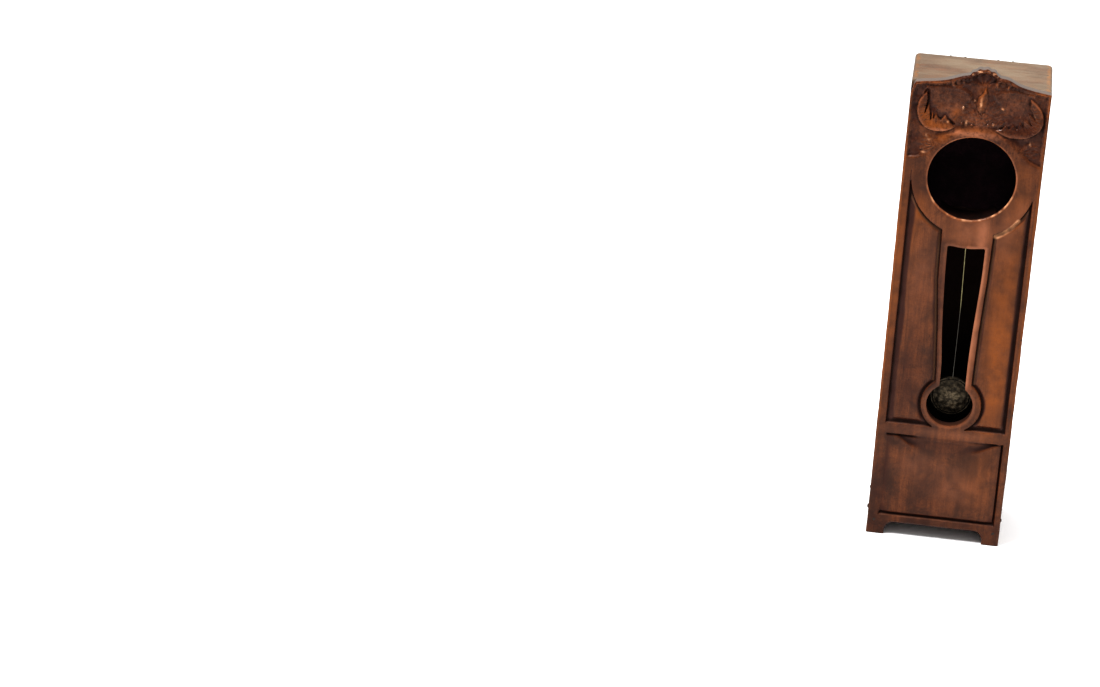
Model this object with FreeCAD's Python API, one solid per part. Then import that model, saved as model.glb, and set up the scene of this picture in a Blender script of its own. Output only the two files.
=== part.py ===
import FreeCAD
import Part
import math
import os

# Pocket-watch stand in the shape of a miniature longcase clock.
# Millimetres. Origin under the middle of the case on the floor, +Z up.
# The carved front faces -Y and +X is to the right of somebody facing it.

V = FreeCAD.Vector

# ---- case ----
CASE_WIDTH = 75.0
CASE_DEPTH = 51.0
SHOULDER_Z = 272.0
BOARD = 5.0
FRONT_THICK = 6.0
TOP_THICK = 4.5
BACK_THICK = 3.0
HALF = CASE_WIDTH / 2
INNER = HALF - BOARD
TOP_UNDER_Z = SHOULDER_Z - TOP_THICK
BACK_INNER_D = CASE_DEPTH - BACK_THICK
BASE_Z = 8.0
BASE_THICK = 4.0
BASE_TOP_Z = BASE_Z + BASE_THICK
TOP_EDGE_ROUND = 1.8
REAR_PLAN_ROUND = 3.0

# ---- front panel outline ----
ARCH_LEFT = -27.6
ARCH_RIGHT = 28.0
ARCH_SPRING_Z = 2.0
ARCH_CORNER = 5.0
CORNER_Z = 271.4
CREST_LEFT = [(-30.0, 272.7), (-20.0, 274.2), (-11.0, 277.3), (-6.9, 278.3)]
CREST_KNOB_TOP = (1.2, 282.4)
CREST_RIGHT = [(9.3, 278.3), (14.0, 277.6), (20.0, 274.8), (28.0, 272.8)]

# ---- openings in the front panel ----
DIAL_Z = 219.7
DIAL_R = 23.8
SEAT_R = 25.6
SEAT_LIP = 2.2
BOB_HOLE_X = 1.6
BOB_HOLE_Z = 84.5
BOB_HOLE_R = 12.9
SLOT_LEFT = [(-9.0, 179.9), (-8.5, 160.0), (-7.0, 130.0), (-5.3, 110.0), (-5.0, 94.0)]
SLOT_RIGHT = [(11.6, 180.2), (11.3, 160.0), (9.8, 130.0), (9.2, 110.0), (9.3, 94.0)]
SLOT_TOP = (1.3, 179.2)

# ---- relief on the front panel ----
GROOVE_DEEP = 1.2
FIELD_DROP = 0.3
RING_X = 1.3
RING_R = 33.6
BOB_RING_X = 2.4
BOB_RING_R = 16.6
SPINE = [(-12.6, 192.0), (-11.9, 160.0), (-9.2, 130.0), (-7.4, 104.0),
         (-7.2, 88.0), (12.4, 88.0), (12.4, 104.0), (12.9, 130.0),
         (14.3, 160.0), (15.0, 192.0)]
WINDOW_LEFT = -32.8
WINDOW_RIGHT = 34.2
WINDOW_BOTTOM = 70.0
WINDOW_TOP = 222.0
OUTER_GROOVE = 3.2
INNER_GROOVE = 2.3
LOWER_LEFT = -32.6
LOWER_RIGHT = 34.0
LOWER_BOTTOM = 12.3
LOWER_TOP = 63.6
LOWER_GROOVE = 1.8
PANEL_BLEND = 1.0

# ---- watch support ----
CRADLE_HALF = 15.0
CRADLE_BOTTOM_Z = 189.0
CRADLE_REACH = 14.0
HOOK_R = 0.8
HOOK_Z = 258.0
HOOK_REACH = 8.0
HOOK_BEND = 2.0
HOOK_RISE = 4.0
HOOK_SET = 3.0

# ---- pendulum ----
PENDULUM_X = 1.9
PENDULUM_D = 11.5
PIVOT_Z = 186.5
PIVOT_R = 0.7
PIVOT_SET = 3.5
PIVOT_END_D = 13.6
PIVOT_HEAD_R = 1.5
PIVOT_HEAD_THICK = 0.6
ROD_R = 0.4
EYE_INNER_R = 0.75
ROD_BEND_Z = 140.0
BOB_Z = 85.6
BOB_R = 11.9
BOB_RIM = 0.7
BOB_RIM_HALF = 0.6
BOB_HALF = 2.8
SHELL = 0.5
ROD_END_Z = BOB_Z + 6.0

# ---- inner frame ----
STRIP = 4.0
BLOCK = 5.0
BLOCK_SPANS = [(16.0, 60.0), (110.0, 150.0)]

# ---- back ----
LOWER_BACK_TOP_Z = 167.4
DOOR_BOTTOM_Z = 168.0
DOOR_TOP_Z = 267.1
DOOR_HALF = 32.2
LINING_HALF = 24.0
LINING_BOTTOM_Z = 185.0
LINING_TOP_Z = 260.0
LINING_THICK = 3.0
LINING_ROUND = 1.2

# ---- hinges ----
HINGE_X = {-1: -14.3, 1: 11.8}
HINGE_WIDTH = 12.0
LEAF_THICK = 0.6
KNUCKLE_R = 1.1
KNUCKLE_BORE_R = 0.6
HINGE_PIN_R = 0.55
HINGE_PIN_OVER = 0.3
HINGE_D = CASE_DEPTH + 1.2
HINGE_Z = 267.3
KNUCKLE_MIDDLE = 4.0
KNUCKLE_GAP = 0.1
LEAF_CLEAR = 0.2
FIXED_LEAF_TOP_Z = 271.3
DOOR_LEAF_DROP = 6.4
HINGE_NAIL_STEP = 4.0
FIXED_NAIL_Z = 270.6
DOOR_NAIL_Z = 262.9
HINGE_NAIL_HEAD_R = 1.0
FIXED_NAIL_HEAD = 0.95
DOOR_NAIL_HEAD = 0.6

# ---- turn button ----
BUTTON_Z = 160.0
BUTTON_LENGTH = 22.0
BUTTON_WIDTH = 6.0
BUTTON_THICK = 1.6
WASHER_THICK = 0.3
WASHER_R = 2.4
SCREW_R = 1.0
SCREW_BORE_R = 1.06
SCREW_HEAD_R = 2.0
SCREW_HEAD = 0.9
SCREW_LENGTH = 2.4

# ---- nails ----
NAIL_R = 0.5
FLUSH_HEAD_R = 0.9
FLUSH_HEAD = 0.5
FRONT_NAIL_SINK = 0.2
FRONT_NAIL_LENGTH = 12.0
FRONT_NAILS = [(-33.6, 8.7), (33.9, 7.8), (-36.0, 128.5), (36.2, 128.5),
               (-36.0, 83.0), (36.2, 82.5)]
TOP_NAIL_X = 34.7
TOP_NAIL_DEPTHS = [16.0, 32.0, 44.0]
TOP_NAIL_LENGTH = 12.0
SIDE_NAIL_Z = 10.0
SIDE_NAIL_DEPTHS_LEFT = [14.0, 39.0]
SIDE_NAIL_DEPTHS_RIGHT = [14.0, 28.0]
SIDE_NAIL_HEAD_R = 1.5
SIDE_NAIL_HEAD = 0.9
SIDE_NAIL_LENGTH = 11.0
BACK_NAIL_X = 30.5
BACK_NAIL_HEIGHTS = [20.0, 90.0, 160.0]
BACK_NAIL_LENGTH = 6.5
HINGE_NAIL_LENGTH = 8.0
DOOR_NAIL_LENGTH = 2.4

# The deepest point behind the front face is the head of the button's screw.
REAR_REACH = CASE_DEPTH + WASHER_THICK + BUTTON_THICK + SCREW_HEAD
Y_FRONT = -REAR_REACH / 2
OVER = 1.0


def at(x, depth, z):
    """Point given by its depth behind the front face."""
    return V(x, Y_FRONT + depth, z)


def box(x0, x1, d0, d1, z0, z1):
    return Part.makeBox(x1 - x0, d1 - d0, z1 - z0, at(x0, d0, z0))


def rod_y(x, z, r, d0, d1):
    """Cylinder along Y from depth d0 to depth d1."""
    return Part.makeCylinder(r, d1 - d0, at(x, d0, z), V(0, 1, 0))


def rod_between(a, b, r):
    return Part.makeCylinder(r, a.distanceToPoint(b), a, b - a)


def flat(x, z):
    """Point in the plane of the front face."""
    return at(x, 0, z)


def line(a, b):
    return Part.makeLine(flat(*a), flat(*b))


def spline(points):
    curve = Part.BSplineCurve()
    curve.interpolate([flat(*p) for p in points])
    return curve.toShape()


def arc(a, b, c):
    return Part.Arc(flat(*a), flat(*b), flat(*c)).toShape()


def slab(edges, d0, d1):
    """Closed outline in the front plane pulled back from depth d0 to d1."""
    face = Part.Face(Part.Wire(Part.__sortEdges__(edges)))
    solid = face.extrude(V(0, d1 - d0, 0))
    solid.translate(V(0, d0, 0))
    return solid


def polygon(points, d0, d1):
    edges = [line(points[i - 1], points[i]) for i in range(len(points))]
    return slab(edges, d0, d1)


def dome(origin, axis, r, height):
    """Low domed nail head standing on its flat underside."""
    ball_r = (r * r + height * height) / (2 * height)
    centre = origin - axis * (ball_r - height)
    ball = Part.makeSphere(ball_r, centre)
    keep = Part.makeCylinder(r, height + OVER, origin, axis)
    return ball.common(keep)


def domed_nail(origin, axis, head_r, head, length):
    """Nail whose domed head sits on a surface at origin, axis pointing out."""
    shank = Part.makeCylinder(NAIL_R, length, origin - axis * length, axis)
    return dome(origin, axis, head_r, head).fuse(shank).removeSplitter()


def flush_nail(origin, axis, length):
    """Flat-headed nail driven until its head is level with origin."""
    head = Part.makeCylinder(FLUSH_HEAD_R, FLUSH_HEAD, origin - axis * FLUSH_HEAD, axis)
    shank = Part.makeCylinder(NAIL_R, length, origin - axis * length, axis)
    return head.fuse(shank).removeSplitter()


def front_nails():
    deep = FRONT_NAIL_SINK
    return [flush_nail(at(x, deep, z), V(0, -1, 0), FRONT_NAIL_LENGTH)
            for x, z in FRONT_NAILS]


def top_nails():
    return [flush_nail(at(side * TOP_NAIL_X, d, SHOULDER_Z), V(0, 0, 1), TOP_NAIL_LENGTH)
            for side in (-1, 1) for d in TOP_NAIL_DEPTHS]


def side_nails():
    left = [(-1, d) for d in SIDE_NAIL_DEPTHS_LEFT]
    right = [(1, d) for d in SIDE_NAIL_DEPTHS_RIGHT]
    return [domed_nail(at(side * HALF, d, SIDE_NAIL_Z), V(side, 0, 0),
                       SIDE_NAIL_HEAD_R, SIDE_NAIL_HEAD, SIDE_NAIL_LENGTH)
            for side, d in left + right]


def back_nails():
    return [flush_nail(at(side * BACK_NAIL_X, CASE_DEPTH, z), V(0, 1, 0), BACK_NAIL_LENGTH)
            for side in (-1, 1) for z in BACK_NAIL_HEIGHTS]


def hinge_nails(z, head, length):
    """Two domed nails through the leaf of each hinge."""
    spots = [HINGE_X[side] + step * HINGE_NAIL_STEP for side in (-1, 1) for step in (-1, 1)]
    face = CASE_DEPTH + LEAF_THICK
    return [domed_nail(at(x, face, z), V(0, 1, 0), HINGE_NAIL_HEAD_R, head, length + LEAF_THICK)
            for x in spots]


def cut_all(solid, tools):
    for tool in tools:
        solid = solid.cut(tool)
    return solid


def front_outline():
    """Feet and arch below, straight sides, crest with a central knob above."""
    left_spring = (ARCH_LEFT, ARCH_SPRING_Z)
    left_crown = (ARCH_LEFT + ARCH_CORNER, BASE_Z)
    right_spring = (ARCH_RIGHT, ARCH_SPRING_Z)
    right_crown = (ARCH_RIGHT - ARCH_CORNER, BASE_Z)
    bulge = math.sin(math.radians(45))
    rise = BASE_Z - ARCH_SPRING_Z
    left_mid = (ARCH_LEFT + ARCH_CORNER * (1 - bulge), ARCH_SPRING_Z + rise * bulge)
    right_mid = (ARCH_RIGHT - ARCH_CORNER * (1 - bulge), ARCH_SPRING_Z + rise * bulge)
    left_crest = [(-HALF, CORNER_Z)] + CREST_LEFT
    right_crest = CREST_RIGHT + [(HALF, CORNER_Z)]
    return [line((-HALF, 0), (ARCH_LEFT, 0)),
            line((ARCH_LEFT, 0), left_spring),
            arc(left_spring, left_mid, left_crown),
            line(left_crown, right_crown),
            arc(right_crown, right_mid, right_spring),
            line(right_spring, (ARCH_RIGHT, 0)),
            line((ARCH_RIGHT, 0), (HALF, 0)),
            line((HALF, 0), (HALF, CORNER_Z)),
            spline(right_crest),
            arc(CREST_LEFT[-1], CREST_KNOB_TOP, CREST_RIGHT[0]),
            spline(left_crest),
            line((-HALF, CORNER_Z), (-HALF, 0))]


def keyhole():
    """Tapering slot that ends in the round hole the bob shows through."""
    slot = slab([spline(SLOT_LEFT), arc(SLOT_LEFT[0], SLOT_TOP, SLOT_RIGHT[0]),
                 spline(SLOT_RIGHT), line(SLOT_LEFT[-1], SLOT_RIGHT[-1])],
                -OVER, FRONT_THICK + OVER)
    hole = rod_y(BOB_HOLE_X, BOB_HOLE_Z, BOB_HOLE_R, -OVER, FRONT_THICK + OVER)
    return slot.fuse(hole)


def spine_solid(grow, d0, d1):
    """Ring round the dial, tapering spine and ring round the bob hole."""
    ring = rod_y(RING_X, DIAL_Z, RING_R + grow, d0, d1)
    bob_ring = rod_y(BOB_RING_X, BOB_HOLE_Z, BOB_RING_R + grow, d0, d1)
    middle = len(SPINE) // 2
    outline = [(x - grow, z) for x, z in SPINE[:middle]]
    outline += [(x + grow, z) for x, z in SPINE[middle:]]
    return ring.fuse(polygon(outline, d0, d1)).fuse(bob_ring)


def upper_groove():
    """Sunk ground round the spine, less the two raised fields beside it."""
    window = box(WINDOW_LEFT, WINDOW_RIGHT, -OVER, GROOVE_DEEP, WINDOW_BOTTOM, WINDOW_TOP)
    ground = window.cut(spine_solid(0, -2 * OVER, 2 * GROOVE_DEEP))
    field = box(WINDOW_LEFT + OUTER_GROOVE, WINDOW_RIGHT - OUTER_GROOVE,
                FIELD_DROP, 2 * GROOVE_DEEP, WINDOW_BOTTOM + OUTER_GROOVE, WINDOW_TOP)
    field = field.cut(spine_solid(INNER_GROOVE, -2 * OVER, 3 * GROOVE_DEEP))
    return ground.cut(field)


def lower_groove():
    """Groove round the cushion-shaped lower panel."""
    ground = box(LOWER_LEFT, LOWER_RIGHT, -OVER, GROOVE_DEEP, LOWER_BOTTOM, LOWER_TOP)
    cushion = box(LOWER_LEFT + LOWER_GROOVE, LOWER_RIGHT - LOWER_GROOVE,
                  FIELD_DROP, 2 * GROOVE_DEEP,
                  LOWER_BOTTOM + LOWER_GROOVE, LOWER_TOP - LOWER_GROOVE)
    front_edges = [e for e in cushion.Edges
                   if all(abs(v.Y - (Y_FRONT + FIELD_DROP)) < 1e-6 for v in e.Vertexes)]
    cushion = cushion.makeChamfer(PANEL_BLEND * 0.6, PANEL_BLEND, front_edges)
    return ground.cut(cushion)


def front_panel():
    panel = slab(front_outline(), 0, FRONT_THICK)
    dial = rod_y(0, DIAL_Z, DIAL_R, -OVER, FRONT_THICK + OVER)
    seat = rod_y(0, DIAL_Z, SEAT_R, SEAT_LIP, FRONT_THICK + OVER)
    hook_hole = rod_y(0, HOOK_Z, HOOK_R, FRONT_THICK - HOOK_SET, FRONT_THICK + OVER)
    pivot_hole = rod_y(PENDULUM_X, PIVOT_Z, PIVOT_R, FRONT_THICK - PIVOT_SET, FRONT_THICK + OVER)
    panel = cut_all(panel, [dial, seat, keyhole(), upper_groove(), lower_groove(),
                            hook_hole, pivot_hole])
    sinks = [rod_y(x, z, FLUSH_HEAD_R, -OVER, FRONT_NAIL_SINK) for x, z in FRONT_NAILS]
    return cut_all(panel, sinks + front_nails())


def side_board(side):
    edge = sorted((side * INNER, side * HALF))
    board = box(edge[0], edge[1], FRONT_THICK, CASE_DEPTH, 0, TOP_UNDER_Z)
    return cut_all(board, front_nails() + top_nails() + side_nails())


def top_board():
    """Lid board with hand-softened side and rear edges."""
    board = box(-HALF, HALF, FRONT_THICK, CASE_DEPTH, TOP_UNDER_Z, SHOULDER_Z)
    rear_y = Y_FRONT + CASE_DEPTH
    corners = [e for e in board.Edges
               if all(abs(v.Y - rear_y) < 1e-6 for v in e.Vertexes)
               and abs(e.Vertexes[0].Z - e.Vertexes[1].Z) > OVER]
    board = board.makeFillet(REAR_PLAN_ROUND, corners)
    sides = [e for e in board.Edges
             if all(abs(v.Z - SHOULDER_Z) < 1e-6 and abs(abs(v.X) - HALF) < 1e-6
                    for v in e.Vertexes)]
    board = board.makeFillet(TOP_EDGE_ROUND, sides)
    return cut_all(board, top_nails() + hinge_nails(FIXED_NAIL_Z, FIXED_NAIL_HEAD, HINGE_NAIL_LENGTH))


def base_board():
    board = box(-INNER, INNER, FRONT_THICK, BACK_INNER_D, BASE_Z, BASE_TOP_Z)
    return cut_all(board, side_nails())


def lower_back():
    board = box(-INNER, INNER, BACK_INNER_D, CASE_DEPTH, BASE_Z, LOWER_BACK_TOP_Z)
    pilot = rod_y(0, BUTTON_Z, SCREW_R, CASE_DEPTH - SCREW_LENGTH, CASE_DEPTH + OVER)
    return cut_all(board, back_nails() + [pilot])


def stop_strip(side):
    edge = sorted((side * (INNER - STRIP), side * INNER))
    strip = box(edge[0], edge[1], BACK_INNER_D - STRIP, BACK_INNER_D, BASE_TOP_Z, TOP_UNDER_Z)
    return cut_all(strip, back_nails())


def corner_blocks():
    """Triangular glue blocks behind the front panel's two inner corners."""
    blocks = []
    for side in (-1, 1):
        for low, high in BLOCK_SPANS:
            points = [at(side * INNER, FRONT_THICK, low),
                      at(side * (INNER - BLOCK), FRONT_THICK, low),
                      at(side * INNER, FRONT_THICK + BLOCK, low)]
            face = Part.Face(Part.makePolygon(points + points[:1]))
            blocks.append(face.extrude(V(0, 0, high - low)))
    return blocks


def watch_cradle():
    """Block under the dial opening, hollowed to the watch's round case."""
    rear = FRONT_THICK + CRADLE_REACH
    block = box(-CRADLE_HALF, CRADLE_HALF, FRONT_THICK, rear, CRADLE_BOTTOM_Z, DIAL_Z)
    return block.cut(rod_y(0, DIAL_Z, SEAT_R, FRONT_THICK - OVER, rear + OVER))


def watch_hook():
    """Wire hook for the watch's bow: straight shank, quarter bend, upright."""
    bend_d = FRONT_THICK + HOOK_REACH
    start = at(0, FRONT_THICK - HOOK_SET, HOOK_Z)
    turn = at(0, bend_d, HOOK_Z)
    shank = rod_between(start, turn, HOOK_R)
    ring = Part.makeTorus(HOOK_BEND, HOOK_R, at(0, bend_d, HOOK_Z + HOOK_BEND), V(1, 0, 0))
    quarter = box(-2 * HOOK_R, 2 * HOOK_R, bend_d, bend_d + HOOK_BEND + 2 * HOOK_R,
                  HOOK_Z - 2 * HOOK_R, HOOK_Z + HOOK_BEND)
    foot = at(0, bend_d + HOOK_BEND, HOOK_Z + HOOK_BEND)
    tip = foot + V(0, 0, HOOK_RISE)
    upright = rod_between(foot, tip, HOOK_R)
    end = Part.makeSphere(HOOK_R, tip)
    return shank.fuse([ring.common(quarter), upright, end]).removeSplitter()


def pivot_nail():
    """Nail behind the front panel that the pendulum's eye hangs on."""
    shank = rod_y(PENDULUM_X, PIVOT_Z, PIVOT_R, FRONT_THICK - PIVOT_SET, PIVOT_END_D)
    head = rod_y(PENDULUM_X, PIVOT_Z, PIVOT_HEAD_R, PIVOT_END_D, PIVOT_END_D + PIVOT_HEAD_THICK)
    return shank.fuse(head).removeSplitter()


def pendulum_rod():
    """Wire with an eye at the top, one soft bend and its end inside the bob."""
    eye_r = EYE_INNER_R + ROD_R
    eye = Part.makeTorus(eye_r, ROD_R, at(PENDULUM_X, PENDULUM_D, PIVOT_Z), V(0, 1, 0))
    top = at(PENDULUM_X - eye_r, PENDULUM_D, PIVOT_Z)
    bend = at(PENDULUM_X, PENDULUM_D, ROD_BEND_Z)
    foot = at(PENDULUM_X, PENDULUM_D, ROD_END_Z)
    pieces = [rod_between(top, bend, ROD_R), Part.makeSphere(ROD_R, bend),
              rod_between(bend, foot, ROD_R)]
    return eye.fuse(pieces).removeSplitter()


def bob_shell(side):
    """One pressed half of the bob: shallow dome with a flat rim, open inside."""
    def dish(radius, height, rim):
        ball_r = (radius * radius + height * height) / (2 * height)
        ball = Part.makeSphere(ball_r, at(PENDULUM_X, PENDULUM_D + side * (rim + height - ball_r), BOB_Z))
        near = PENDULUM_D + side * rim
        far = PENDULUM_D + side * (rim + height + OVER)
        return ball.common(rod_y(PENDULUM_X, BOB_Z, radius, min(near, far), max(near, far)))
    edge = PENDULUM_D + side * BOB_RIM_HALF
    rim = rod_y(PENDULUM_X, BOB_Z, BOB_R, min(PENDULUM_D, edge), max(PENDULUM_D, edge))
    outer = rim.fuse(dish(BOB_R - BOB_RIM, BOB_HALF - BOB_RIM_HALF, BOB_RIM_HALF))
    inner_r = BOB_R - BOB_RIM - SHELL
    hollow = rod_y(PENDULUM_X, BOB_Z, inner_r, min(PENDULUM_D, edge), max(PENDULUM_D, edge))
    hollow = hollow.fuse(dish(inner_r, BOB_HALF - BOB_RIM_HALF - SHELL, BOB_RIM_HALF))
    return outer.cut(hollow).cut(pendulum_rod()).removeSplitter()


def back_door():
    board = box(-DOOR_HALF, DOOR_HALF, BACK_INNER_D, CASE_DEPTH, DOOR_BOTTOM_Z, DOOR_TOP_Z)
    return cut_all(board, hinge_nails(DOOR_NAIL_Z, DOOR_NAIL_HEAD, DOOR_NAIL_LENGTH))


def door_lining():
    """Cloth pad behind the watch, soft along its front edges."""
    front = BACK_INNER_D - LINING_THICK
    pad = box(-LINING_HALF, LINING_HALF, front, BACK_INNER_D, LINING_BOTTOM_Z, LINING_TOP_Z)
    soft = [e for e in pad.Edges if all(abs(v.Y - (Y_FRONT + front)) < 1e-6 for v in e.Vertexes)]
    return pad.makeFillet(LINING_ROUND, soft)


def knuckle_spans(x, leaf):
    """Ranges of x held by one leaf's knuckles."""
    half = KNUCKLE_MIDDLE / 2
    if leaf == "fixed":
        return [(x - half, x + half)]
    end = HINGE_WIDTH / 2
    return [(x - end, x - half - KNUCKLE_GAP), (x + half + KNUCKLE_GAP, x + end)]


def hinge_leaf(side, leaf):
    """Plate nailed to the wood, rolled into knuckles along the hinge axis."""
    x = HINGE_X[side]
    clear = KNUCKLE_R + LEAF_CLEAR
    face = CASE_DEPTH + LEAF_THICK
    if leaf == "fixed":
        low, high, root = HINGE_Z + clear, FIXED_LEAF_TOP_Z, HINGE_Z + clear
        nails = hinge_nails(FIXED_NAIL_Z, FIXED_NAIL_HEAD, HINGE_NAIL_LENGTH)
    else:
        low, high, root = HINGE_Z - DOOR_LEAF_DROP, HINGE_Z - clear, HINGE_Z - clear
        nails = hinge_nails(DOOR_NAIL_Z, DOOR_NAIL_HEAD, DOOR_NAIL_LENGTH)
    plate = box(x - HINGE_WIDTH / 2, x + HINGE_WIDTH / 2, CASE_DEPTH, face, low, high)
    bores = []
    for start, end in knuckle_spans(x, leaf):
        barrel = Part.makeCylinder(KNUCKLE_R, end - start, at(start, HINGE_D, HINGE_Z), V(1, 0, 0))
        web = box(start, end, CASE_DEPTH, face, min(root, HINGE_Z), max(root, HINGE_Z))
        plate = plate.fuse([barrel, web])
        bores.append(Part.makeCylinder(KNUCKLE_BORE_R, end - start + 2 * OVER,
                                       at(start - OVER, HINGE_D, HINGE_Z), V(1, 0, 0)))
    return cut_all(plate.removeSplitter(), bores + nails)


def hinge_pin(side):
    start = HINGE_X[side] - HINGE_WIDTH / 2 - HINGE_PIN_OVER
    length = HINGE_WIDTH + 2 * HINGE_PIN_OVER
    return Part.makeCylinder(HINGE_PIN_R, length, at(start, HINGE_D, HINGE_Z), V(1, 0, 0))


def turn_button():
    """Round-ended wooden bar that turns on its screw to hold the door shut."""
    front = CASE_DEPTH + WASHER_THICK
    half = BUTTON_LENGTH / 2 - BUTTON_WIDTH / 2
    bar = box(-half, half, front, front + BUTTON_THICK,
              BUTTON_Z - BUTTON_WIDTH / 2, BUTTON_Z + BUTTON_WIDTH / 2)
    ends = [rod_y(side * half, BUTTON_Z, BUTTON_WIDTH / 2, front, front + BUTTON_THICK)
            for side in (-1, 1)]
    bore = rod_y(0, BUTTON_Z, SCREW_BORE_R, front - OVER, front + BUTTON_THICK + OVER)
    return bar.fuse(ends).removeSplitter().cut(bore)


def turn_button_washer():
    disc = rod_y(0, BUTTON_Z, WASHER_R, CASE_DEPTH, CASE_DEPTH + WASHER_THICK)
    return disc.cut(rod_y(0, BUTTON_Z, SCREW_R, CASE_DEPTH - OVER, CASE_DEPTH + OVER))


def turn_button_screw():
    """Slotted dome-head screw."""
    face = CASE_DEPTH + WASHER_THICK + BUTTON_THICK
    shank = rod_y(0, BUTTON_Z, SCREW_R, CASE_DEPTH - SCREW_LENGTH, face)
    head = dome(at(0, face, BUTTON_Z), V(0, 1, 0), SCREW_HEAD_R, SCREW_HEAD)
    slot = box(-SCREW_HEAD_R, SCREW_HEAD_R, face + SCREW_HEAD / 2, face + SCREW_HEAD + OVER,
               BUTTON_Z - SCREW_R / 4, BUTTON_Z + SCREW_R / 4)
    return shank.fuse(head).removeSplitter().cut(slot)


def nodes():
    parts = {"front_panel": front_panel(), "top_board": top_board(),
             "base_board": base_board(), "lower_back": lower_back(),
             "corner_blocks": corner_blocks(), "watch_cradle": watch_cradle(),
             "watch_hook": watch_hook(), "pivot_nail": pivot_nail(),
             "front_nails": front_nails(), "top_nails": top_nails(),
             "side_nails": side_nails(), "back_nails": back_nails(),
             "hinge_fixed_nails": hinge_nails(FIXED_NAIL_Z, FIXED_NAIL_HEAD, HINGE_NAIL_LENGTH),
             "hinge_door_nails": hinge_nails(DOOR_NAIL_Z, DOOR_NAIL_HEAD, DOOR_NAIL_LENGTH),
             "back_door": back_door(), "door_lining": door_lining(),
             "pendulum_rod": pendulum_rod(), "bob_front_shell": bob_shell(-1),
             "bob_rear_shell": bob_shell(1), "turn_button": turn_button(),
             "turn_button_washer": turn_button_washer(),
             "turn_button_screw": turn_button_screw()}
    for name, side in (("left", -1), ("right", 1)):
        parts[name + "_side"] = side_board(side)
        parts[name + "_stop_strip"] = stop_strip(side)
        parts[name + "_hinge_fixed_leaf"] = hinge_leaf(side, "fixed")
        parts[name + "_hinge_door_leaf"] = hinge_leaf(side, "door")
        parts[name + "_hinge_pin"] = hinge_pin(side)
    return parts


def save(name, shape):
    """Write one node; a list of solids becomes one group."""
    if isinstance(shape, list):
        shape = Part.makeCompound(shape)
    shape.exportStep(os.path.join("parts", name + ".step"))
    print(name, len(shape.Solids), shape.isValid(), round(shape.Volume, 2))


os.makedirs("parts", exist_ok=True)
for node_name, node_shape in nodes().items():
    save(node_name, node_shape)
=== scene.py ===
import math

import bmesh
import bpy
import numpy as np
from mathutils import Matrix, Vector


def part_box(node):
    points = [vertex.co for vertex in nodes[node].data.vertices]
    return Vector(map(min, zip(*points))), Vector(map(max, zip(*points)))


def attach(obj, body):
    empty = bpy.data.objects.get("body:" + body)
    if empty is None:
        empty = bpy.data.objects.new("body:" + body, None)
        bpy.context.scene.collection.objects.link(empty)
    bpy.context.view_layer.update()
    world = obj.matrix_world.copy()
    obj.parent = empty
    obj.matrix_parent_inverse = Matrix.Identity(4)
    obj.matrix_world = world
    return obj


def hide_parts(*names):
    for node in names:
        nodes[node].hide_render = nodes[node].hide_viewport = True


# Looks of the carved pocket-watch stand. Lengths are worked out in millimetres and written in metres.

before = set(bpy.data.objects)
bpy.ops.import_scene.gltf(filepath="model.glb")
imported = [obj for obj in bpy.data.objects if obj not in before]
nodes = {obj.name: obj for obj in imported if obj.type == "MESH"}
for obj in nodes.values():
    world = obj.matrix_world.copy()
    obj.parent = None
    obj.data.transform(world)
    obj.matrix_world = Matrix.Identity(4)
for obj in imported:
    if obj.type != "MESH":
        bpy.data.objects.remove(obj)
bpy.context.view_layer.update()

MM = 0.001
FAR = 1e9
SAME_POINT = 1e-6

# ---- places read from the frame ----
panel_low, panel_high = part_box("front_panel")
Y_FRONT = panel_low.y / MM
PANEL_THICK = (panel_high.y - panel_low.y) / MM
HALF = panel_high.x / MM
CASE_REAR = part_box("top_board")[1].y / MM

# ---- front panel, the same driving sizes as the CAD part ----
CORNER_Z = 271.4
ARCH_LEFT = -27.6
ARCH_RIGHT = 28
ARCH_SPRING_Z = 2
ARCH_CORNER = 5
ARCH_Z = 8
CREST = [(-35, 271.9), (-30, 272.7), (-20, 274.2), (-11, 277.3), (-6.9, 278.3)]
WORN_CORNER = [(-37.5, 262.5), (-36.9, 266.5), (-36.1, 270.2)]
CREST_RIGHT = [(9.3, 278.3), (14, 277.6), (20, 274.8), (28, 272.8), (37.5, 271.4)]
KNOB_X = 1.2
KNOB_Z = 272.3
KNOB_R = 10
KNOB_BEADS = 15
DIAL_Z = 219.7
DIAL_R = 23.8
SEAT_R = 25.6
SEAT_LIP = 2.2
BOB_HOLE_X = 1.6
BOB_HOLE_Z = 84.5
BOB_HOLE_R = 12.9
SLOT_LEFT = [(-9, 179.9), (-8.5, 160), (-7, 130), (-5.3, 110), (-5, 94)]
SLOT_RIGHT = [(11.6, 180.2), (11.3, 160), (9.8, 130), (9.2, 110), (9.3, 94)]
SLOT_TOP_R = 40.5
RING_X = 1.3
RING_R = 33.6
BOB_RING_X = 2.4
BOB_RING_R = 16.6
SPINE = [
    (-12.6, 192), (-11.9, 160), (-9.2, 130), (-7.4, 104), (-7.2, 88), (12.4, 88), (12.4, 104), (12.9, 130),
    (14.3, 160), (15, 192)]
WINDOW = (-32.8, 34.2, 70, 222)
LOWER = (-32.6, 34, 12.3, 63.6)
FOOT_NAILS = [(-33.6, 8.7), (33.9, 7.8)]
STILE_NAILS = [(-36, 128.5), (36.2, 128.5), (-36, 83), (36.2, 82.5)]

# ---- places that the materials use ----
SIDE_INNER = 33.5
TOP_UNDERSIDE = 267.5
ROD_BEND = 140

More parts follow.
